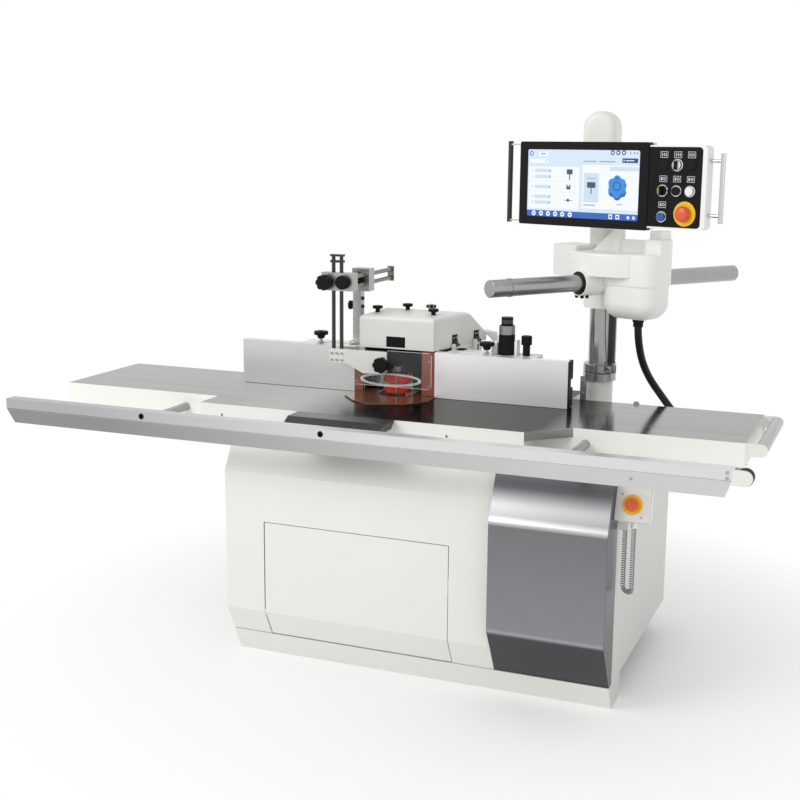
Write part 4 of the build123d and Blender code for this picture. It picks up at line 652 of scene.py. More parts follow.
# Stainless cover with painted reflections: painted shade under its brow and in its foot, painted highlights along both
# bends, painted shade on its right side.
COVER_PAINTED_REFLECTIONS = zoned(
    "stainless_cover_with_painted_reflections", COVER_STEEL,
    Patch("#797A7C", 0.34, 1.0, (above(Measure.Z, 440.0, 180.0), below(Measure.Z, 617.0, 2.0))),
    Patch("#505255", 0.34, 1.0, (below(Measure.Z, 254.0, 8.0),)),
    Patch("#ABACAF", 0.3, 1.0, (Zone(Measure.Z, 257.0, 267.0, 5.0),)),
    Patch("#A8A9AA", 0.36, 1.0, (above(Measure.Z, 654.0, 20.0),)),
    Patch("#CBCCCD", 0.3, 1.0, (Zone(Measure.Z, 622.0, 640.0, 8.0),)),
    Patch("#6E6F72", 0.36, 1.0, (above(Measure.Z, 708.0, 24.0),)),
    Patch("#66676A", 0.34, 1.0, (above(Measure.X, CABINET_SIDE),)))
# Anodised bar with painted shade: greyer to the left and on the slant under its front face, which faces down.
BAR_PAINTED_SHADE = zoned("anodised_bar_with_painted_shade", BAR_ALUMINIUM,
                 Patch("#B3B3B3", 0.36, 1.0, (below(Measure.X, -560.0, 550.0),)),
                 Patch("#D6D6D6", 0.38, 1.0, (below(Measure.Z, BAR_FOLD, 1.0),)),
                 Patch("#949494", 0.38, 1.0, (below(Measure.Z, BAR_FOLD, 1.0), below(Measure.X, -250.0, 800.0))))
# Anodised fence with painted light: paler all over and palest towards the cutter.
FENCE_PAINTED_LIGHT = zoned("anodised_fence_with_painted_light", FENCE_ALUMINIUM,
                   Patch("#EFEFED", 0.36, 0.7, (below(Measure.X, FAR),)),
                   Patch("#FDFDFC", 0.36, 0.6, (below(Measure.X, 150.0, 150.0),)))
# Powder-coated cabinet with painted shade on its right side, which makes it greyer there.
CABINET_PAINTED_SHADE = zoned("powder_coated_cabinet_with_painted_side_shade", WHITE_PAINT, Patch(
    "#D3D3CE", 0.4, 0.0, (above(Measure.X, CABINET_SIDE),)))
# Painted carriage with painted shade inside its chip box, drawn nearly black.
CARRIAGE_PAINTED_SHADE = zoned("painted_casting_with_painted_shade_in_chip_box", CAST_PAINT, Patch(
    "#161616", 0.6, 0.0, (Zone(Measure.X, -371.6, -62.0), Zone(Measure.Y, -28.0, 286.0),
                          Zone(Measure.Z, 0.0, 1067.3))))
# Painted reflection on the table in front of the cutter: a darker colour and a duller glancing mirror stand in for the
# dark things that it mirrors.
TABLE_PAINTED_REFLECTION = Patch("#B4B4B2", 0.18, 1.0, (above(Measure.X, -330.0, 160.0), below(Measure.X, 470.0, 70.0),
                                     above(Measure.Z, TABLE_UNDER)), glance="#B8B8B8", multiplied=True)
# Ground centre table with its cut corner left bare and the painted reflection in front of the cutter.
TABLE_SKIN = zoned("ground_iron_with_bare_corner_and_painted_reflection", GROUND_IRON, Patch(
    "#8E8E8C", 0.36, 1.0, (above(Measure.X, 373.2), below(Measure.Y, -346.2),
                           Zone(Measure.Z, 0.0, TABLE_UNDER))), TABLE_PAINTED_REFLECTION)
# Ground right table, with the painted reflection where it meets the centre one.
EXTENSION_SKIN = zoned("ground_iron_with_painted_reflection_end", GROUND_IRON, TABLE_PAINTED_REFLECTION)
# Die-cast clamp on dull steel rails.
ARM_SKIN = zoned("die_cast_clamp_on_steel_rails", DIE_CAST, Patch("#77746A", 0.25, 1.0, (above(Measure.Y, -94.0),)))
# Powder-coated hood with black hinge knuckles on its right side.
HOOD_SKIN = zoned("powder_coated_hood_with_black_hinges", WHITE_PAINT, Patch(
    "#151517", 0.45, 0.0, (below(Measure.Y, -0.5),), HOOD_CORNER, HOOD_TURN))


class Shape:
    """A bmesh under construction, in millimetres. Each method that adds to it returns it."""

    def __init__(self) -> None:
        """Starts empty."""
        self.mesh = bmesh.new()

    def _bevel(self, verts: Iterable[Any], width: float) -> None:
        """Rounds every sharp edge among some new vertices.

        Args:
            verts: The vertices.
            width: Width of the rounding, or 0 for none.
        """
        if width <= 0:
            return
        edges = {edge for vert in verts for edge in vert.link_edges if edge.calc_face_angle(0.0) > SHARP_ANGLE}
        bmesh.ops.bevel(self.mesh, geom=list(edges), offset=width, segments=ROUNDING_STEPS, profile=0.5,
                        affect="EDGES", material=-1, clamp_overlap=True)

    def _take(self, other: Any) -> None:
        """Moves the faces of another bmesh into this one and frees it.

        Args:
            other: The other bmesh.
        """
        twins = {vert: self.mesh.verts.new(vert.co) for vert in other.verts}
        for face in other.faces:
            self.mesh.faces.new([twins[vert] for vert in face.verts])
        other.free()

    def _pull(self, faces: list[Any], way: Sequence[float]) -> None:
        """Draws faces out into a solid.

        Args:
            faces: Faces of one flat sheet.
            way: How far to draw them.
        """
        made = bmesh.ops.extrude_face_region(self.mesh, geom=faces)
        moved = [item for item in made["geom"] if isinstance(item, bmesh.types.BMVert)]
        bmesh.ops.translate(self.mesh, verts=moved, vec=way)

    def slab(self, low: Point, high: Point, soft: float = 0.0) -> "Shape":
        """Adds a box.

        Args:
            low: Its lowest corner.
            high: Its highest corner.
            soft: Rounding of its edges.

        Returns:
            This shape.
        """
        size = [b - a for a, b in zip(low, high)]
        middle = [(a + b) / 2 for a, b in zip(low, high)]
        place = Matrix.Translation(middle) @ Matrix.Diagonal((*size, 1))
        made = bmesh.ops.create_cube(self.mesh, size=1.0, matrix=place)
        self._bevel(made["verts"], soft)
        return self

    def disc(self, centre: Point, radius: float, thick: float, sides: int) -> "Shape":
        """Adds a disc that faces the front.

        Args:
            centre: Its middle.
            radius: Its radius.
            thick: Its thickness.
            sides: Facets round it.

        Returns:
            This shape.
        """
        bmesh.ops.create_cone(self.mesh, cap_ends=True, segments=sides, radius1=radius, radius2=radius, depth=thick,
                              matrix=Matrix.Translation(centre) @ Axis.Y.upright())
        return self

    def lathe(self, axis: Axis, centre: Point, profile: Sequence[Flat], sides: int = 40) -> "Shape":
        """Spins a closed profile round an axis.

        Args:
            axis: Direction of the axis.
            centre: Point where the profile's heights start.
            profile: Radius and height of each corner, in order.
            sides: Facets round it.

        Returns:
            This shape.
        """
        spun = bmesh.new()
        verts = [spun.verts.new((radius, 0, height)) for radius, height in profile]
        edges = [spun.edges.new(ends) for ends in zip(verts, verts[1:] + verts[:1]) if max(v.co.x for v in ends) > 0]
        bmesh.ops.spin(spun, geom=[*verts, *edges], cent=(0, 0, 0), axis=(0, 0, 1), angle=math.tau, steps=sides,
                       use_merge=True, use_duplicate=False)
        bmesh.ops.remove_doubles(spun, verts=spun.verts, dist=1e-4)
        bmesh.ops.transform(spun, matrix=Matrix.Translation(centre) @ axis.upright(), verts=spun.verts)
        self._take(spun)
        return self

    def ring(self, axis: Axis, centre: Point, radii: Flat, heights: Flat, sides: int) -> "Shape":
        """Adds a plain ring between two radii and two heights, with axis, centre and sides as in lathe."""
        (inner, outer), (low, high) = radii, heights
        return self.lathe(axis, centre, [(inner, low), (outer, low), (outer, high), (inner, high)], sides)

    def star(self, axis: Axis, centre: Point, radius: float, length: float, lobes: int, soft: float = 0.0) -> "Shape":
        """Adds a lobed knob or toothed disc around a centre.

        Args:
            axis: Direction that it stands along.
            centre: Its middle.
            radius: Radius over the lobes.
            length: Its height.
            lobes: How many lobes it has.
            soft: Rounding of its rims.

        Returns:
            This shape.
        """
        steps, dips = 6, {0: 0.85, 1: 0.9, 5: 0.9}
        made = bmesh.ops.create_cone(self.mesh, cap_ends=True, segments=lobes * steps, radius1=radius, radius2=radius,
                                     depth=length)["verts"]
        for vert in made:
            step = round(math.atan2(vert.co.y, vert.co.x) / math.tau * lobes * steps) % steps
            dip = dips.get(step, 1.0)
            bmesh.ops.scale(self.mesh, vec=(dip, dip, 1), verts=[vert])
        bmesh.ops.transform(self.mesh, matrix=Matrix.Translation(centre) @ axis.upright(), verts=made)
        self._bevel(made, soft)
        return self

    def screw(self, axis: Axis, centre: Point, radius: float, rise: float) -> "Shape":
        """Adds a domed screw head with a socket.

        Args:
            axis: Direction of the screw.
            centre: Where its head meets the surface.
            radius: Radius of the head.
            rise: How far the head stands out, below 0 where it looks down the axis.

        Returns:
            This shape.
        """
        head = [(0, 0), (radius, 0), (radius, rise * 0.55), (radius * 0.8, rise), (radius * 0.42, rise),
                (radius * 0.36, rise * 0.35), (0, rise * 0.35)]
        return self.lathe(axis, centre, head, 16)

    def _sheet(self, low: Flat, high: Flat, level: float, corner: float) -> list[Any]:
        """Adds a flat upright face.

        Args:
            low: Lowest X and Z.
            high: Highest X and Z.
            level: Its Y.
            corner: Corner radius, or 0 for none.

        Returns:
            The face, in a list.
        """
        before = set(self.mesh.faces)
        corners = [low, (high[0], low[1]), high, (low[0], high[1])]
        verts = [self.mesh.verts.new((a, level, b)) for a, b in corners]
        self.mesh.faces.new(verts)
        if corner > 0:
            bmesh.ops.bevel(self.mesh, geom=verts, offset=corner, segments=CORNER_STEPS, profile=0.5,
                            affect="VERTICES", material=-1, clamp_overlap=True)
        return [face for face in self.mesh.faces if face not in before]

    def tile(self, low: Flat, high: Flat, span: Flat, corner: float = 0.0,
             window: tuple[Flat, Flat] | None = None) -> "Shape":
        """Adds an upright plate that faces the front.

        Args:
            low: Lowest X and Z.
            high: Highest X and Z.
            span: Y where it starts and ends.
            corner: Corner radius, or 0 for none.
            window: Lowest and highest X and Z of an opening in it.

        Returns:
            This shape.
        """
        faces = self._sheet(low, high, span[0], corner)
        if window:
            faces += self._sheet(*window, span[0], corner)
            rims = [edge for face in faces for edge in face.edges]
            bmesh.ops.delete(self.mesh, geom=faces, context="FACES_ONLY")
            faces = bmesh.ops.bridge_loops(self.mesh, edges=rims)["faces"]
        self._pull(faces, (0, span[1] - span[0], 0))
        return self

    def prism(self, axis: Axis, outline: Sequence[Flat], span: Flat) -> "Shape":
        """Carries an outline along an axis.

        Args:
            axis: Direction to carry it.
            outline: Its corners, in the other two axes in X, Y, Z order.
            span: Where it starts and ends on the axis.

        Returns:
            This shape.
        """
        at = list(Axis).index(axis)
        verts = [self.mesh.verts.new((*corner[:at], span[0], *corner[at:])) for corner in outline]
        way = [span[1] - span[0] if other is axis else 0.0 for other in Axis]
        self._pull([self.mesh.faces.new(verts)], way)
        return self

    def done(self, name: str, finish: Finish, body: str, slot: str, place: Matrix | None = None) -> bpy.types.Object:
        """Closes the shape and sets it in the scene.

        Args:
            name: Piece name.
            finish: Its finish.
            body: Body that it rides on.
            slot: Record slot that it would belong to; not used.
            place: Frame that its sizes are written in.

        Returns:
            The finished piece.
        """
        bmesh.ops.recalc_face_normals(self.mesh, faces=self.mesh.faces)
        bmesh.ops.transform(self.mesh, matrix=place or Matrix.Identity(4), verts=self.mesh.verts)
        bmesh.ops.scale(self.mesh, vec=(MM, MM, MM), verts=self.mesh.verts)
        for face in self.mesh.faces:
            face.smooth = True
        for edge in self.mesh.edges:
            edge.smooth = edge.calc_face_angle(0.0) < SHARP_ANGLE
        data = bpy.data.meshes.new(name)
        self.mesh.to_mesh(data)
        self.mesh.free()
        data.materials.append(finish.material())
        piece = stand(name, data)
        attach(piece, body)
        LOG.info("piece %s on %s", name, body)
        return piece


def placed(origin: Point, yaw: float = 0.0, tilt: float = 0.0) -> Matrix:
    """Frame at a point, turned about Z and then tilted about its own X, in degrees."""
    turn = Matrix.Rotation(math.radians(yaw), 4, "Z") @ Matrix.Rotation(math.radians(tilt), 4, "X")
    return Matrix.Translation(origin) @ turn


def screw_heads(name: str, body: str, axis: Axis, places: Iterable[Point], radius: float, rise: float,
                place: Matrix | None = None, finish: Finish = ZINC, slot: str = "bright_steel") -> None:
    """Makes a piece of screw heads.

    Args:
        name: Piece name.
        body: Body that it rides on.
        axis: Direction of the screws.
        places: Where the heads meet the surface.
        radius: Radius of a head.
        rise: How far a head stands out, as in Shape.screw.
        place: Frame that the places are written in.
        finish: Finish of the heads.
        slot: Record slot that they would belong to, passed on to Shape.done, which does not use it.
    """
    heads = Shape()
    for spot in places:
        heads.screw(axis, spot, radius, rise)
    heads.done(name, finish, body, slot, place)


def dress(nodes: dict[str, bpy.types.Object], finishes: dict[Finish, str]) -> None:
    """Gives solids of the frame their finishes.

    Args:
        nodes: Objects of the frame by name.
        finishes: Each finish with the names of its nodes.
    """
    for finish, names in finishes.items():
        for name in names.split():
            for slot in nodes[name].material_slots:
                slot.material = finish.material()
            LOG.info("solid %s in %s", name, finish.name)


@dataclass
class Studio:
    """Camera of the photograph, a pale floor and plain soft light. Only the camera's place is in millimetres."""

    position: Point = (1510.6, -4332.0, 1795.3)
    azimuth: float = 22.04
    pitch: float = 11.22
    roll: float = 0.45
    focal_pixels: float = 1293.0
    image_pixels: float = 800.0
    sensor_mm: float = 36.0
    clip_end: float = 60.0
    sky_light: float = 0.62
    floor_half: float = 14.0
    fade: Flat = (0.6, 1.8)
    fade_start: float = 0.1

    def build(self) -> None:
        """Makes the camera, floor, world and lamps."""
        self.camera()
        self.world()
        self.floor()
        self.lamp("key_softbox", (-2.4, -3.8, 3.9), (0, 0, 0.8), 2.8, 112)
        self.lamp("side_softbox", (3.8, -2.2, 2.6), (0.2, 0, 0.8), 2.6, 10)
        bpy.context.scene.view_settings.view_transform = "Standard"

    def camera(self) -> None:
        """Sets the camera at the photograph's viewpoint."""
        a, p, r = (math.radians(v) for v in (self.azimuth, self.pitch, self.roll))
        forward = Vector((-math.sin(a) * math.cos(p), math.cos(a) * math.cos(p), -math.sin(p)))
        level = Vector((math.cos(a), math.sin(a), 0))
        over = level.cross(forward)
        right = level * math.cos(r) + over * math.sin(r)
        up = over * math.cos(r) - level * math.sin(r)
        lens = bpy.data.cameras.new("photo_camera")
        lens.sensor_width = self.sensor_mm
        lens.lens = self.focal_pixels / self.image_pixels * self.sensor_mm
        lens.clip_end = self.clip_end
        camera = stand("photo_camera", lens)
        turn = Matrix((right, up, -forward)).transposed().to_4x4()
        camera.matrix_world = Matrix.Translation(Vector(self.position) * MM) @ turn
        bpy.context.scene.camera = camera

    def world(self) -> None:
        """White where it is seen or mirrored, softer where it only lights."""
        world = bpy.data.worlds.new("studio")
        tree = blank(world)
        path = add(tree, "LightPath").outputs
        mirrored = add(tree, "Math", {0: path["Is Glossy Ray"], 1: path["Is Transmission Ray"]}, operation="MAXIMUM")
        seen = add(tree, "Math", {0: path["Is Camera Ray"], 1: mirrored.outputs[0]}, operation="MAXIMUM")
        level = mix(tree, seen.outputs[0], self.sky_light, 1.0)
        sky = add(tree, "Background", {"Color": (1, 1, 1, 1), "Strength": level})
        add(tree, "OutputWorld", {"Surface": sky.outputs[0]})
        bpy.context.scene.world = world

    def floor(self) -> None:
        """Lays a white floor that keeps the shadow near the machine and fades to the backdrop."""
        data = bpy.data.meshes.new("floor")
        shape = bmesh.new()
        bmesh.ops.create_grid(shape, x_segments=1, y_segments=1, size=self.floor_half)
        shape.to_mesh(data)
        shape.free()
        floor = stand("floor", data)
        material = bpy.data.materials.new("white_paper_sweep")
        tree = blank(material)
        matt = add(tree, "BsdfDiffuse", {"Color": linear("#FCFCFC")})
        plain = add(tree, "Emission", {"Color": (1, 1, 1, 1), "Strength": 1.0})
        far = add(tree, "VectorMath", {0: add(tree, "TexCoord").outputs["Object"]}, operation="LENGTH")
        fade = add(tree, "MapRange", {"Value": far.outputs["Value"], "From Min": self.fade[0],
                                      "From Max": self.fade[1], "To Min": self.fade_start})
        mixed = add(tree, "MixShader", {0: fade.outputs["Result"], 1: matt.outputs[0], 2: plain.outputs[0]})
        add(tree, "OutputMaterial", {"Surface": mixed.outputs[0]})
        data.materials.append(material)

    @staticmethod
    def lamp(name: str, place: Point, target: Point, size: float, power: float) -> None:
        """Adds a square soft lamp.

        Args:
            name: Name of the lamp.
            place: Where it stands, in metres.
            target: Point that it looks at.
            size: Length of its side in metres.
            power: Its power in watts.
        """
        light = bpy.data.lights.new(name, "AREA")
        light.size = size
        light.energy = power
        lamp = stand(name, light)
        way = Vector(target) - Vector(place)
        lamp.matrix_world = Matrix.Translation(place) @ way.to_track_quat("-Z", "Y").to_matrix().to_4x4()
        lamp.visible_camera = False


def smooth_line(name: str, points: Sequence[Sequence[float]], steps: int, radius: float = 0.0,
                round_steps: int = 0) -> bpy.types.Object:
    """Makes a smooth line or tube on control points.

    Args:
        name: Name of the piece.
        points: Control points in metres.
        steps: Samples between two control points.
        radius: Tube radius in millimetres, or 0 for a bare line.
        round_steps: Roundness of the tube.

    Returns:
        A curve object.
    """
    line = bpy.data.curves.new(name, "CURVE")
    line.dimensions = "3D"
    line.resolution_u = steps
    if radius > 0:
        line.bevel_depth = radius * MM
        line.bevel_resolution = round_steps
        line.use_fill_caps = True
    spline = line.splines.new("NURBS")
    spline.points.add(len(points) - 1)
    for knot, point in zip(spline.points, points):
        knot.co = (*point, 1)
    spline.order_u = 3
    spline.use_endpoint_u = True
    return stand(name, line)


def meshed(curve: bpy.types.Object) -> bpy.types.Mesh:
    """Reads a curve object as a mesh and removes the object.

    Args:
        curve: The curve object.

    Returns:
        The mesh.
    """
    bpy.context.view_layer.update()
    made = bpy.data.meshes.new_from_object(curve.evaluated_get(bpy.context.evaluated_depsgraph_get()))
    line = curve.data
    bpy.data.objects.remove(curve)
    bpy.data.curves.remove(line)
    return made


def in_metres(points: Iterable[Point]) -> list[Point]:
    """Points of a route in metres."""
    return [tuple(c * MM for c in point) for point in points]


def line_points(route: Iterable[Point], steps: int) -> list[Vector]:
    """Follows the smooth line of a route.

    Args:
        route: Control points in millimetres.
        steps: Samples between two control points.

    Returns:
        Points along the line, in metres.
    """
    read = meshed(smooth_line("route", in_metres(route), steps))
    found = [vert.co.copy() for vert in read.vertices]
    bpy.data.meshes.remove(read)
    return found


def line_length(points: Sequence[Vector]) -> float:
    """Length of a chain of points."""
    return sum((b - a).length for a, b in zip(points, points[1:]))


@dataclass
class Cords:
    """The hose from the head to the base and the curly cord of the stop box."""

    hose_route: tuple[Point, ...] = ((612.9, 59, 1199), (612.9, 59, 1140), (624, 148, 1015), (693, 208, 900),
                                     (745, 235, 826), (745, 235, 738))
    hose_radius: float = 13.0
    cord_route: tuple[Point, ...] = ((736, -470, 634), (736, -470, 440), (736, -470, 413), (703, -444, 413),
                                     (703, -444, 440), (703, -444, 618))
    coil_radius: float = 6.15
    wire_radius: float = 2.1
    curls: int = 60
    points_per_curl: int = 14
    wire_share: float = 0.99

    def build(self) -> None:
        self.hose()
        self.curly()

    def hose(self) -> None:
        """Hangs the hose from the head to the base."""
        points = line_points(self.hose_route, 16)
        data = meshed(smooth_line("hose_curve", in_metres(self.hose_route), 16, self.hose_radius, 8))
        hose = stand("black_hose", data)
        data.materials.clear()
        data.materials.append(RUBBER.material())
        data.shade_smooth()
        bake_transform(hose)
        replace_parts(hose, "hose")
        LOG.info("piece black_hose, %.3f m long", line_length(points))

    def curly(self) -> None:
        """Winds the curly cord along its hanging line."""
        wound = self.coil(line_points(self.cord_route, 40))
        cord = smooth_line("curly_cord", wound, 2, self.wire_radius, 2)
        cord.data.materials.append(CORD_GREY.material())
        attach(cord, "frame")
        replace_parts(cord, "estop_cord")
        LOG.info("piece curly_cord, %.3f m of wire", line_length(wound))

    def coil(self, line: Sequence[Vector]) -> list[Vector]:
        """Winds a coil evenly round a line.

        Args:
            line: Points of the line, in metres.

        Returns:
            Points of the coil, in metres.
        """
        total, count, reach = line_length(line), self.curls * self.points_per_curl, self.coil_radius * MM
        side = (line[-1] - line[0]).normalized()
        around = Vector((side.x, side.y, 0)).normalized().cross(Vector((0, 0, 1)))
        wound, gone, at = [], 0.0, 0
        for index in range(count + 1):
            want = total * index / count
            while at < len(line) - 2 and gone + (line[at + 1] - line[at]).length < want:
                gone += (line[at + 1] - line[at]).length
                at += 1
            forward = (line[at + 1] - line[at]).normalized()
            inward = around.cross(forward).normalized()
            angle = math.tau * self.curls * index / count
            centre = line[at] + forward * (want - gone)
            wound.append(centre + inward * (reach * math.cos(angle)) + around * (reach * math.sin(angle)))
        return wound


STOP_STEM = 11.6
CAP_STEM = 10.9


def stop_button(prefix: str, node: str, bodies: tuple[str, str], centre: Point, radii: Flat, thick: float,
                place: Matrix) -> None:
    """Makes a yellow plate and, in place of its plain solid, a domed stop button with a grip rim.

    Args:
        prefix: Start of both piece names.
        node: Solid that the button stands for.
        bodies: Bodies that carry the plate and the button.
        centre: Where the stem meets the face, in the local frame.
        radii: Radius of the plate and of the cap.
        thick: Thickness of the plate.
        place: The local frame.
    """
    plate, cap = radii
    ring = [(STOP_STEM, 0), (STOP_STEM, -thick), (plate - thick + 1, -thick), (plate, 1.2 - thick), (plate, 0)]
    Shape().lathe(Axis.Y, centre, ring, 64).done(prefix + "_stop_plate", STOP_YELLOW, bodies[0], "red_plastic", place)
    dome = [(0, 30), (CAP_STEM, 30), (CAP_STEM, -8), (cap - 4, -8), (cap, -11), (cap, -17), (cap - 2, -19.5),
            (cap - 2, -22), (cap * 0.82, -26.5), (cap * 0.5, -29.4), (0, -30)]
    made = Shape().lathe(Axis.Y, centre, dome, 56)
    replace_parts(made.done(prefix + "_stop_cap", STOP_RED, bodies[1], "red_plastic", place), node)


@dataclass
class ScreenPicture:
    """Picture on the screen, built from backlit layers with bars and blocks in place of words.

    A mark is written with its layer, counted from the bottom of the recess.
    """

    place: Matrix
    recess: float = 2.0
    layer: float = 0.4
    fields: tuple[float, ...] = (44, 23.5, -11, -45, -65)
    tools: tuple[float, ...] = (-464, -432, -402, -371, -341, -309)
    badges: tuple[float, ...] = (-143, -121, -99)
    keys: tuple[float, ...] = (-143, -115)

    def level(self, number: int) -> Flat:
        """Depths between which a layer lies."""
        return self.recess - self.layer * (number + 1), self.recess - self.layer * number

    def lay(self, name: str, finish: Finish, tiles: Iterable[tuple[float, ...]] = (),
            discs: Iterable[tuple[float, ...]] = (), rings: Iterable[tuple[float, ...]] = (),
            stars: Iterable[tuple[float, ...]] = ()) -> None:
        """Makes all marks of one colour.

        Args:
            name: End of the piece name.
            finish: Glass of that colour.
            tiles: Lowest X and Z, highest X and Z, layer and corner radius of each block.
            discs: X, Z, radius, layer and facets of each disc.
            rings: X, Z, inner and outer radius and layer of each ring.
            stars: X, Z, radius and thickness of each toothed disc in layer 2.
        """
        shape = Shape()
        for left, low, right, high, number, corner in tiles:
            shape.tile((left, low), (right, high), self.level(number), corner)
        for x, z, radius, number, sides in discs:
            shape.disc((x, self.level(number)[0] + self.layer / 2, z), radius, self.layer, sides)
        for x, z, inner, outer, number in rings:
            shape.ring(Axis.Y, (x, self.level(number)[0], z), (inner, outer), (0, self.layer), 32)
        for x, z, radius, thick in stars:
            shape.star(Axis.Y, (x, self.level(2)[1] - thick / 2, z), radius, thick, 6)
        shape.done("screen_" + name, finish, "panel", "black_plastic", self.place)

    def build(self, screen: tuple[Flat, Flat]) -> None:
        """Makes the picture.

        Args:
            screen: Lowest and highest X and Z of the screen.
        """
        self.lay("ground", GLASS_PALE, [
            (*screen[0], *screen[1], 0, 0), (-486, 7.4, -280, 8.6, 2, 0), (-486, -28.6, -280, -27.4, 2, 0)])
        self.lay("cards", GLASS_WHITE, [
            (-489, -86, -274, 58, 1, 2), (-262, -80, -38, 66, 1, 2), (-485, 70, -409, 83, 1, 2),
            (-448, 95, -408, 108, 1, 2), *((x - 7.5, -111, x + 7.5, -96, 2, 1) for x in self.keys),
            *((x - 3.5, 104.5, x + 3.5, 111.5, 2, 2) for x in self.badges),
            (-90, 81, -58, 84, 2, 0), (-99, 80, -95, 85, 2, 0)],
            [(x, -103.5, 8.5, 2, 28) for x in self.tools])
        self.lay("fields", GLASS_TINT, [
            (-152, 48, -38, 62, 2, 1), (-255, -59, -194, 39, 2, 2), (-57, -109, -46, -99, 2, 1),
            *((-462, z - 6, -393, z + 6, 2, 1.5) for z in self.fields)], [(-73, -104, 6, 2, 24)])
        self.lay("marks", GLASS_GREY, [
            *((-474, z - 2.5, -471, z + 2.5, 2, 0) for z in self.fields),
            *((-400, z - 3, -395, z + 3, 3, 0) for z in self.fields),
            (-258, 76, -207, 80, 1, 1), (-195, 76, -131, 80, 1, 1), (-438, 99, -418, 104, 2, 1),
            (-120, -64, -98, -61, 2, 0), (-254, -70, -206, -66, 2, 0), (-240, 20, -208, 23, 3, 0)],
            [*((x, 107, 3.4, 1, 20) for x in (-73, -58, -46)), (-415, 76.5, 2.6, 2, 20)])
        self.lay("navy_marks", GLASS_NAVY, [(-104, 75, -43, 90, 1, 1.5)], [(x, 108, 8, 1, 28) for x in self.badges])
        self.lay("task_bar", GLASS_BLUE, [
            (-494, -114, -35, -93, 1, 0), *((x - 3.5, -106, x + 3.5, -101, 3, 1) for x in self.tools),
            *((x - 4, -107, x + 4, -100, 3, 1) for x in self.keys), (-150, -34, -138, -24, 3, 3),
            (-104, -34, -92, -24, 3, 3), (-127, 20, -115, 27, 3, 3)],
            rings=[(-480, 102, 5.4, 8.4, 1), (-121, -2, 11, 17, 3)], stars=[(-119, -11, 38, 0.4)])
        self.lay("tool_icons", GLASS_SLATE, [
            (-327, 33, -303, 50, 2, 2), (-317, 14, -313, 33, 2, 0), (-327, -18, -310, -8, 2, 0),
            (-327, -8, -322, -2, 2, 0), (-315, -8, -310, -2, 2, 0), (-336, -56, -302, -54, 2, 0),
            (-241, -10, -207, 9, 3, 2), (-226, -30, -222, -10, 3, 0)], [(-319, -55, 5.5, 2, 24)])
        self.lay("cutter_picture", GLASS_AZURE, stars=[(-121, -3, 37, 0.6)])


@dataclass
class ControlPanel:
    """Monitor and control box on the pivoting head: bezel, screen picture, collars, print and stop button."""

    monitor: tuple[Flat, Flat] = ((-526.5, -141.5), (-1.5, 141.5))
    screen: tuple[Flat, Flat] = ((-494.0, -114.0), (-35.0, 116.0))
    columns: Point = (56.0, 107.0, 157.0)
    rows: Point = (71.0, -11.0, -95.0)
    print_rows: Point = (104.0, 27.0, -56.0)
    stop_at: Point = (140.0, 0.0, -83.0)
    stop_radii: Flat = (40.0, 25.0)
    stop_thick: float = 2.4
    ink: Flat = (-0.25, -0.02)

    def __post_init__(self) -> None:
        """Sets the frame that the panel's sizes are written in."""
        self.place = placed(PANEL_AT, PANEL_YAW)

    def build(self) -> None:
        """Makes every piece of the panel."""
        bezel = Shape().tile(*self.monitor, (-0.8, 0.0), 7.0, self.screen)
        bezel.done("screen_bezel", BEZEL, "panel", "black_plastic", self.place)
        ScreenPicture(self.place).build(self.screen)
        self.controls()
        self.pictograms()

    def controls(self) -> None:
        """Sets the collars, blank plugs, selector faces and the stop button."""
        collars, plugs = Shape(), Shape()
        turned = [(16.3, 0), (20.5, 0), (20.5, -3.2), (19.2, -5), (16.3, -5)]
        pressed = [(14.5, 0), (19, 0), (19, -3.2), (17.7, -5), (14.5, -5)]
        first, second, third = self.columns
        upper, middle, lower = self.rows
        for x, z, profile in ((second, upper, turned), (first, middle, turned), (second, middle, pressed),
                              (third, middle, pressed), (first, lower, pressed)):
            collars.lathe(Axis.Y, (x, 0, z), profile, 48)
        for x in (first, third):
            plugs.lathe(Axis.Y, (x, 0, upper), [(0, 0), (17, 0), (17, -1.6), (15.5, -2.6), (0, -2.6)])
        collars.done("button_collars", CHROME, "panel", "bright_steel", self.place)
        plugs.done("blank_plugs", BLACK_PLASTIC, "panel", "black_plastic", self.place)
        face = Shape().lathe(Axis.Y, (second, -8, upper), [(0, 0), (15, 0), (14.4, -0.8), (0, -0.8)])
        face.done("mode_selector_face", BUTTON_WHITE, "mode", "white_plastic", self.place)
        tip = Shape().tile((first - 13, middle - 8), (first - 4.3, middle + 8), (-9, -8), 3)
        tip.done("axis_selector_tip", STOP_YELLOW, "axis", "red_plastic", self.place)
        stop_button("panel", "panel_estop", ("panel", "panel_stop"), self.stop_at, self.stop_radii, self.stop_thick,
                    self.place)

    def pictograms(self) -> None:
        """Prints plain framed marks over the controls."""
        ink = Shape()
        first, second, third = self.print_rows
        places = [(x, z) for z in (first, second) for x in self.columns] + [(self.columns[0], third)]
        for x, z in places:
            ink.tile((x - 14, z - 10), (x + 14, z + 10), self.ink, 1.0, ((x - 12.4, z - 8.4), (x + 12.4, z + 8.4)))
            if z == first:
                for step in (-7, 0, 7):
                    ink.tile((x + step - 1.6, z - 5), (x + step + 1.6, z + 5), self.ink, 0.5)
            else:
                ink.tile((x - 9, z - 5), (x - 3, z + 5), self.ink, 0.8)
                ink.ring(Axis.Y, (x + 4.5, self.ink[0], z), (2.6, 5), (0, 0.2), 24)
        ink.done("control_pictograms", PRINT, "panel", "white_plastic", self.place)


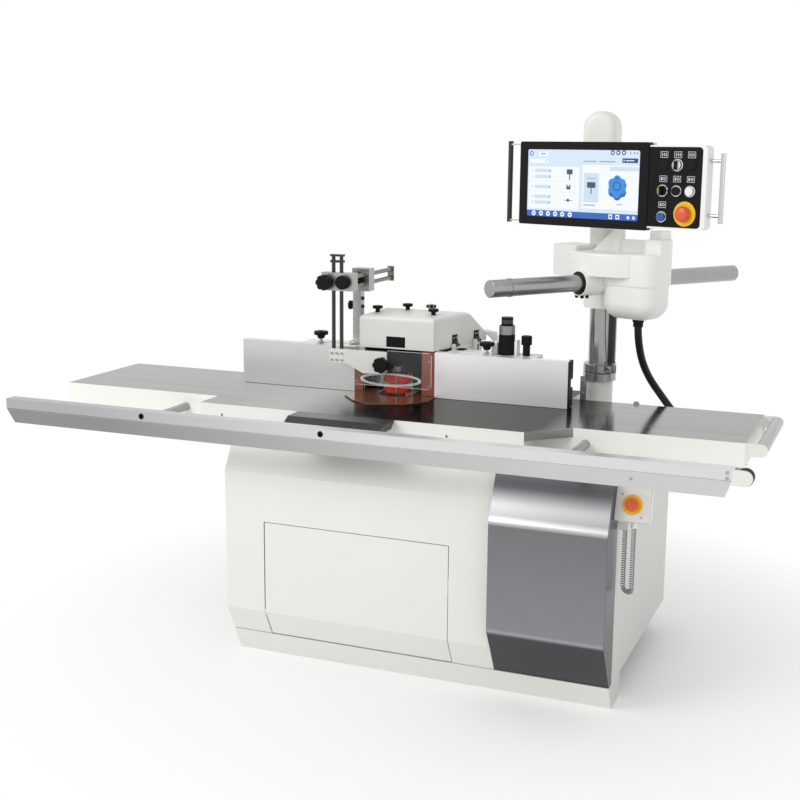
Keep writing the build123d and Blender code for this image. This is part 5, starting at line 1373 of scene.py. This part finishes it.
@dataclass
class StopBox:
    """Tilted emergency stop box on the right of the base."""

    centre: Point = (733.5, -470.0, 700.0)
    tilt: float = -18.0
    face: float = -29.0
    radii: Flat = (32.0, 20.0)
    plate_thick: float = 2.2
    lid: Flat = (53.9, 53.4)
    lid_inside: Flat = (52.6, 52.1)
    lid_corner: float = 6.2
    seam: Flat = (17.4, 18.6)
    screws: tuple[Flat, ...] = ((-33.0, 31.0), (31.0, -37.0))

    def build(self) -> None:
        """Makes the stop button, the lid seam and the lid screws."""
        place = placed(self.centre, 0.0, self.tilt)
        stop_button("box", "base_estop", ("frame", "base_stop"), (0, self.face, 0), self.radii, self.plate_thick, place)
        (x, z), (x_in, z_in) = self.lid, self.lid_inside
        seam = (self.face + self.seam[0], self.face + self.seam[1])
        lid = Shape().tile((-x, -z), (x, z), seam, self.lid_corner, ((-x_in, -z_in), (x_in, z_in)))
        lid.done("box_lid_seam", BLACK_PLASTIC, "frame", "black_plastic", place)
        screw_heads("box_lid_screws", "frame", Axis.Y, [(x, self.face, z) for x, z in self.screws], 4.0, -1.8, place)


@dataclass
class FrontBar:
    """Fittings of the sliding support bar."""

    front: float = -695.0
    sockets: Flat = (-906.0, -236.0)
    socket_z: float = 883.0
    end_x: float = 1039.0
    end_heights: Flat = (889.0, 872.0)
    slant_screw: Point = (763.0, -681.8, 840.0)
    slant: float = 27.8

    def build(self) -> None:
        """Makes the socket bushes and the screws."""
        bushes = Shape()
        for x in self.sockets:
            bushes.lathe(Axis.Y, (x, self.front, self.socket_z), [
                (4.6, -1.0), (9.6, -1.0), (10.4, 0.0), (7.9, 0.0), (7.9, 3.6), (4.6, 3.6)], 32)
        bushes.done("bar_socket_bushes", BLACK_PLASTIC, "bar", "black_plastic")
        ends = [(self.end_x, self.front, z) for z in self.end_heights]
        screw_heads("bar_end_screws", "bar", Axis.Y, ends, 5.5, -3.0)
        screw_heads("bar_slant_screw", "bar", Axis.Y, [(0, 0, 0)], 5.0, -3.0, placed(self.slant_screw, 0, self.slant))


@dataclass
class FenceFittings:
    """Lock knobs, end caps and brackets of the split fence."""

    lock_x: Flat = (-560.0, 91.0)
    lock_y: float = -8.0
    top: float = 1065.0
    end_x: float = 404.0
    face: float = -64.0
    back: float = -30.0
    shelf: float = 1060.0
    cap_heights: Flat = (901.5, 1064.5)
    cap_plugs: tuple[Flat, Flat] = ((903.0, 968.0), (998.0, 1064.0))
    dial: Flat = (152.0, 34.0)
    cheeks: tuple[Point, Point] = ((-54.0, -31.0, 43.0), (31.0, 42.0, 52.0))
    deflector_bend: tuple[Flat, ...] = ((-371.0, 20.0), (-318.0, 20.0), (-300.0, 34.0), (-300.0, 37.0),
                                        (-319.0, 23.0), (-371.0, 23.0))
    deflector_heights: Flat = (914.0, 968.0)

    def build(self) -> None:
        """Makes the fence's pieces."""
        for side, x in zip(("left", "right"), self.lock_x):
            self.lock(side, (x, self.lock_y, self.top))
        self.end_caps()
        self.dial_bracket()
        self.deflector()

    def lock(self, side: str, foot: Point) -> None:
        """Makes a lock knob with its stud and washer.

        Args:
            side: Name of the fence's side.
            foot: Where the stud leaves the carriage.
        """
        x, y, z = foot
        knob = Shape().star(Axis.Z, (x, y, z + 35), 27, 14, 7, 3.0)
        knob.lathe(Axis.Z, foot, [(0, 14), (11, 14), (15, 22), (15, 28.6), (0, 28.6)], 32)
        knob.lathe(Axis.Z, foot, [(0, 41.4), (9, 41.4), (8, 43.4), (0, 44)], 24)
        made = knob.done(side + "_lock_knob", BLACK_PLASTIC, "lock_" + side, "black_plastic")
        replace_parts(made, side + "_fence_lock")
        stud = Shape().lathe(Axis.Z, foot, [(0, -30), (5, -30), (5, 0.3), (11.5, 0.3), (11.5, 2.6), (7, 2.6), (7, 5),
                                            (5, 5), (5, 14.5), (0, 14.5)], 32)
        stud.done(side + "_lock_stud", BRIGHT_STEEL, "lock_" + side, "bright_steel")

    def end_caps(self) -> None:
        """Closes the right fence's end with black caps."""
        low, high = self.cap_heights
        caps = Shape().slab((self.end_x, self.face, low), (self.end_x + 3, self.back, high), 0.8)
        for low, high in self.cap_plugs:
            caps.slab((self.end_x - 12, self.back + 0.3, low), (self.end_x + 2.5, self.back + 28, high), 1.5)
        caps.done("right_fence_end_caps", BLACK_PLASTIC, "fence_right", "black_plastic")

    def dial_bracket(self) -> None:
        """Stands two white cheeks beside the depth dial."""
        x, y = self.dial
        cheeks = Shape()
        for left, right, rise in self.cheeks:
            cheeks.slab((x + left, y - 12, self.shelf), (x + right, y + 26, self.shelf + rise), 2.0)
        cheeks.done("dial_cheeks", CAST_PAINT, "fence", "white_casting")

    def deflector(self) -> None:
        """Sets the bent steel plate that leads chips past the cutter."""
        plate = Shape().prism(Axis.Z, self.deflector_bend, self.deflector_heights)
        plate.done("chip_deflector", ZINC, "fence", "bright_steel")


@dataclass
class HoodFittings:
    """Window, hinge leaves and thumb knobs of the dust hood."""

    knobs: tuple[Flat, ...] = ((-350.0, 38.0), (-272.0, 142.0), (-130.0, 38.0), (-178.0, 142.0))
    top: float = 1185.0
    inside: float = -59.0
    window: tuple[Flat, Flat] = ((-278.0, 1070.0), (-196.0, 1116.0))
    pull_at: Flat = (-138.0, 38.0)
    hinge_z: float = 1075.0
    hinges: Flat = (140.0, 290.0)
    leaf_face: float = -2.6

    def build(self) -> None:
        """Makes the hood's pieces."""
        pane = Shape().tile(*self.window, (self.inside, self.inside + 2), 2.0)
        pane.done("hood_window_plate", BLACK_PLASTIC, "hood_body", "black_plastic")
        knobs = Shape()
        stem = [(0, -10), (3.9, -10), (3.9, 0.2), (9, 0.2), (8, 5), (9, 13), (0, 13)]
        for x, y in self.knobs:
            knobs.star(Axis.Z, (x, y, self.top + 18), 19, 11, 8, 2.5).lathe(Axis.Z, (x, y, self.top), stem, 24)
        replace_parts(knobs.done("hood_thumb_knobs", BLACK_PLASTIC, "hood_body", "black_plastic"), "hood_knobs")
        pull = Shape().ring(Axis.Y, (*self.pull_at, self.top + 32.4), (8.4, 9.6), (-0.9, 0.9), 32)
        pull.done("knob_pull_ring", ZINC, "hood_body", "bright_steel")
        self.leaves()

    def leaves(self) -> None:
        """Screws a black hinge leaf to the hood and one to the carriage at each hinge."""
        place = placed((HOOD_CORNER[0], HOOD_CORNER[1], self.hinge_z), HOOD_TURN)
        near, far = self.hinges
        upper, lower = Shape(), Shape()
        for x in self.hinges:
            upper.slab((x - 17, self.leaf_face, 7), (x + 17, -0.1, 38), 0.8)
        lower.slab((near - 14, -44, -14.9), (near + 17, -17.5, -10.5), 1.0)
        lower.slab((far - 14, self.leaf_face, -44), (far + 17, -0.1, -16), 0.8)
        upper.done("hood_hinge_leaves", BLACK_PLASTIC, "hood_body", "black_plastic", place)
        heads = [(x + step, self.leaf_face, 27) for x in self.hinges for step in (-9, 9)]
        screw_heads("hood_hinge_screws", "hood_body", Axis.Y, heads, 3.6, -1.8, place)
        lower.done("carriage_hinge_leaves", BLACK_PLASTIC, "fence", "black_plastic", place)


@dataclass
class GuardFittings:
    """Clamp cap, screws, clear screen and presser loop of the cutter guard, and the knob on its post."""

    clamp_cap: Point = (-412.0, -130.0, 1307.0)
    clamp_screws: tuple[Point, ...] = ((-500.0, -112.0, 1290.0), (-500.0, -112.0, 1325.0))
    bracket_face: float = -132.0
    screw_x: Point = (-460.0, -440.0, -420.0)
    screw_z: Flat = (1026.0, 1050.0)
    screen: tuple[Flat, Flat] = ((-375.0, 940.0), (-78.0, 1068.0))
    screen_span: Flat = (-119.0, -117.0)
    screen_screws: tuple[Flat, ...] = ((-365.0, 950.0), (-86.0, 950.0), (-86.0, 1040.0))
    edge: float = 1.6
    corner: float = 6.0
    bracket_tip: float = -246.0
    loop_at: Point = (-210.0, -172.0, 972.0)
    loop_half: Flat = (115.0, 40.0)
    loop_wide: float = 9.0
    loop_thick: float = 6.0
    loop_tilt: float = 20.0
    leg: tuple[Point, Point] = ((-268.0, -133.0, 1000.0), (-244.0, -127.0, 1039.0))
    post_knob: Point = (-440.0, 31.0, 1206.0)
    post_right: float = -408.0
    post_screws: Flat = (1203.0, 1233.0)

    def build(self) -> None:
        """Makes the guard's pieces."""
        self.clamp()
        self.clear_parts()
        self.post()

    def clamp(self) -> None:
        """Makes the clamp's cap and the screws of the clamp and the bracket."""
        cap = Shape().lathe(Axis.Y, self.clamp_cap, [(0, 0), (10, 0), (10, -7), (23, -7), (25, -9), (25, -19),
                                                     (22, -22), (0, -22)], 48)
        cap.done("clamp_cap", BLACK_PLASTIC, "arm", "black_plastic")
        screw_heads("clamp_screws", "arm", Axis.X, self.clamp_screws, 5, -4)
        heads = [(x, self.bracket_face, z) for z in self.screw_z for x in self.screw_x]
        screw_heads("guard_bracket_screws", "guard", Axis.Y, heads, 4.6, -1.4)

    def clear_parts(self) -> None:
        """Makes the clear screen behind the bracket and the loop that presses the work down."""
        pane = Shape().tile(*self.screen, self.screen_span, self.corner)
        pane.done("clear_guard_screen", ACRYLIC, "guard", "clear_acrylic")
        (left, low), (right, high) = self.screen
        front, back, wide, corner = self.screen_span[0] - 0.1, self.screen_span[1] + 0.1, self.edge, self.corner
        rims = Shape()
        for (x0, z0), (x1, z1) in (((left + corner, low - wide), (right - corner, low + 0.1)),
                                   ((right - 0.1, low + corner), (right + wide, high - corner)),
                                   ((left - wide, low + corner), (left + 0.1, high - corner)),
                                   ((self.bracket_tip, high - 0.1), (right - corner, high + wide))):
            rims.slab((x0, front, z0), (x1, back, z1))
        rims.done("clear_screen_edges", ACRYLIC_EDGE, "guard", "clear_acrylic")
        heads = [(x, self.screen_span[0], z) for x, z in self.screen_screws]
        screw_heads("clear_screen_screws", "guard", Axis.Y, heads, 3.4, -1.6)
        wide, deep = self.loop_half
        place = placed(self.loop_at, 0, self.loop_tilt) @ Matrix.Diagonal((1, deep / wide, 1, 1))
        loop = Shape().ring(Axis.Z, (0, 0, 0), (wide - self.loop_wide, wide), (0, self.loop_thick), 72)
        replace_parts(loop.done("presser_loop", ACRYLIC_EDGE, "guard", "clear_acrylic", place), "presser_finger")
        Shape().slab(*self.leg, 1.5).done("presser_leg", ACRYLIC, "guard", "clear_acrylic")

    def post(self) -> None:
        """Makes the knob and the screws that clamp the post."""
        x, y, z = self.post_knob
        knob = Shape().star(Axis.X, (x - 16, y, z), 17, 12, 8, 2.0)
        knob.lathe(Axis.X, (x, y, z), [(0, 0), (6, 0), (6, -10), (0, -10)], 24)
        knob.done("post_clamp_knob", BLACK_PLASTIC, "fence", "black_plastic")
        heads = [(self.post_right, y, height) for height in self.post_screws]
        screw_heads("post_clamp_screws", "fence", Axis.X, heads, 7.0, 6.0, finish=LIP_STEEL, slot="machine_steel")


@dataclass
class CutterFittings:
    """Spool, knives, clamp ring and screws of the cutter."""

    axis: Flat = (-234.0, -40.0)
    top: float = 976.0
    spool: tuple[Flat, ...] = ((17.7, 908.0), (46.0, 908.0), (50.0, 910.0), (50.0, 924.0), (47.0, 927.0), (33.0, 931.0),
                               (33.0, 941.0), (47.0, 945.0), (51.0, 947.0), (51.0, 972.0), (48.0, 976.0), (17.7, 976.0))
    knife: tuple[Flat, ...] = ((30.0, -8.0), (53.0, -8.0), (53.0, -4.0), (30.0, -4.0))
    knife_heights: Flat = (911.0, 973.0)
    knife_turn: float = 20.0
    ring: tuple[Flat, ...] = ((17.7, 0.1), (36.0, 0.1), (36.0, 5.0), (33.0, 8.0), (17.7, 8.0))
    screw_out: float = 27.0
    screw_turn: float = 45.0

    def turned(self, out: float, aside: float, turn: float) -> Flat:
        """Places a point round the cutter's axis.

        Args:
            out: Its distance from the axis before it is turned.
            aside: Its distance to the left of that line.
            turn: Turn round the axis in degrees.

        Returns:
            Its X and Y.
        """
        way = math.radians(turn)
        return (self.axis[0] + out * math.cos(way) - aside * math.sin(way),
                self.axis[1] + out * math.sin(way) + aside * math.cos(way))

    def build(self) -> None:
        """Makes the spool in place of the plain block, then its knives, ring and screws."""
        block = Shape().lathe(Axis.Z, (*self.axis, 0), self.spool, 64)
        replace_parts(block.done("cutter_spool", CUTTER_RED, "spindle", "red_paint"), "cutter_head")
        knives, ring = Shape(), Shape().lathe(Axis.Z, (*self.axis, self.top), self.ring, 48)
        for quarter in (0, 90, 180, 270):
            edge = [self.turned(a, b, self.knife_turn + quarter) for a, b in self.knife]
            knives.prism(Axis.Z, edge, self.knife_heights)
            spot = self.turned(self.screw_out, 0.0, self.screw_turn + quarter)
            ring.screw(Axis.Z, (*spot, self.top + self.ring[-1][1]), 4.5, 3)
        knives.done("cutter_knives", BRIGHT_STEEL, "spindle", "bright_steel")
        ring.done("cutter_clamp_ring", LIP_STEEL, "spindle", "machine_steel")


@dataclass
class HeadFittings:
    """Screws and tube wiper of the feeder head, and the clamp lug on its column."""

    tube_n: float = -100.0
    tube_z: float = 1332.0
    boss: float = 45.0
    boss_end: float = -200.0
    screw_t: Flat = (-194.0, -172.0)
    screw_n: Flat = (-114.0, -86.0)
    lug_turn: float = -44.5
    lug_out: Flat = (57.0, 86.0)
    lug_z: Flat = (999.0, 1026.0)
    lug_face: float = 15.0
    lug_slit: float = 1.5
    bolt_out: Flat = (66.0, 79.0)
    bolt_z: Flat = (1006.0, 1019.0)

    def build(self) -> None:
        """Makes the head's pieces."""
        head = placed(COLUMN_AT, HEAD_TURN)
        socket = [(0, 0), (6, 0), (6, -9), (5, -11), (3, -11), (2.6, -6), (0, -6)]
        heads = Shape()
        for t in self.screw_t:
            for n in self.screw_n:
                drop = math.sqrt(self.boss ** 2 - (n - self.tube_n) ** 2)
                heads.lathe(Axis.Z, (t, n, self.tube_z - drop + 2), socket, 20)
        heads.done("boss_screws", BLACK_PLASTIC, "head", "black_plastic", head)
        wiper = Shape().lathe(Axis.X, (self.boss_end, self.tube_n, self.tube_z), [
            (29.4, -1.2), (39, -1.2), (40, 0), (29.4, 0)], 64)
        wiper.done("tube_wiper", RUBBER, "head", "black_rubber", head)
        side = placed(COLUMN_AT, self.lug_turn)
        (near, far), (low, high) = self.lug_out, self.lug_z
        lug = Shape()
        for front, back in ((-self.lug_face, -self.lug_slit), (self.lug_slit, self.lug_face)):
            lug.slab((near, front, low), (far, back, high), 1.5)
        lug.done("column_clamp_lug", TURNED_STEEL, "frame", "machine_steel", side)
        bolts = [(x, -self.lug_face, z) for x in self.bolt_out for z in self.bolt_z]
        screw_heads("column_clamp_bolts", "frame", Axis.Y, bolts, 4.6, -4.5, side)


@dataclass
class TableFittings:
    """Brackets behind the right table extension."""

    rear: float = 125.0
    sheet: Flat = (0.1, 3.1)
    strip: tuple[Flat, Flat] = ((401.0, 842.0), (423.0, 986.0))
    strip_corner: float = 2.0
    hook: tuple[Flat, ...] = ((3.0, 938.0), (30.0, 938.0), (30.0, 941.0), (6.0, 956.0), (3.0, 956.0))
    hook_span: Flat = (405.0, 419.0)
    screw_x: float = 412.0
    screw_z: Flat = (966.0, 925.0)
    clip: tuple[Flat, Flat] = ((594.0, 866.0), (616.0, 910.0))
    clip_corner: float = 9.0

    def build(self) -> None:
        """Makes the upright bracket and the round clip."""
        front, back = (self.rear + depth for depth in self.sheet)
        strip = Shape().tile(*self.strip, (front, back), self.strip_corner)
        strip.prism(Axis.X, [(self.rear + y, z) for y, z in self.hook], self.hook_span)
        for z in self.screw_z:
            strip.screw(Axis.Y, (self.screw_x, front, z), 5, -3)
        strip.done("rear_stop_bracket", ZINC, "frame", "bright_steel")
        clip = Shape().tile(*self.clip, (front, back), self.clip_corner)
        clip.done("rear_clip", ZINC, "frame", "bright_steel")


NODE_FINISHES: dict[Finish, str] = {
    CABINET_PAINTED_SHADE: "base_cabinet",
    WHITE_PAINT: "front_panel front_door guard_bracket mast estop_box column_foot end_roller_brackets bar_end_bracket",
    HOOD_SKIN: "hood",
    CAST_PAINT: "head_casting",
    CARRIAGE_PAINTED_SHADE: "fence_carriage",
    GROUND_IRON: "left_extension",
    EXTENSION_SKIN: "right_extension",
    TABLE_SKIN: "centre_table",
    COVER_PAINTED_REFLECTIONS: "steel_cover",
    BAR_PAINTED_SHADE: "front_bar",
    FENCE_ALUMINIUM: "left_fence",
    FENCE_PAINTED_LIGHT: "right_fence",
    TUBE_ALUMINIUM: "feeder_tube",
    DIE_CAST: "guard_post",
    ARM_SKIN: "guard_arm",
    LIP_STEEL: "front_lip",
    ROD_STEEL: "guard_rods",
    COLUMN_SKIN: "column_tube",
    HANDLE_SKIN: "panel_handles",
    DIAL_SKIN: "depth_dial",
    BRIGHT_STEEL: "bar_rods end_roller",
    TURNED_STEEL: "lift_frame spindle_quill spindle_shaft motor_pulley",
    BLACK_PLASTIC: "fine_knob guard_height_knob guard_depth_knob presser_knob hose_gland mode_selector "
                   "axis_selector stop_button bar_roller hood_knobs left_fence_lock right_fence_lock",
    PANEL_SKIN: "panel_case",
    CASE_PLASTIC: "cable_glands",
    PHENOLIC: "left_gap_plate right_gap_plate",
    APRON_PHENOLIC: "gap_apron",
    ACRYLIC: "presser_finger",
    CUTTER_RED: "cutter_head",
    STOP_RED: "panel_estop base_estop",
    BUTTON_WHITE: "start_button",
    BUTTON_BLUE: "reset_button",
    RUBBER: "drive_belt",
    MOTOR_PAINT: "drive_motor",
}


def main() -> None:
    """Builds the studio, dresses the frame and adds each sub-assembly's pieces."""
    logging.basicConfig(level=logging.INFO, format="%(name)s: %(message)s")
    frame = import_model()
    Studio().build()
    Cords().build()
    dress(frame["nodes"], NODE_FINISHES)
    for assembly in (ControlPanel(), StopBox(), FrontBar(), FenceFittings(), HoodFittings(), GuardFittings(),
                     CutterFittings(), HeadFittings(), TableFittings()):
        assembly.build()


if __name__ == "__main__":
    main()
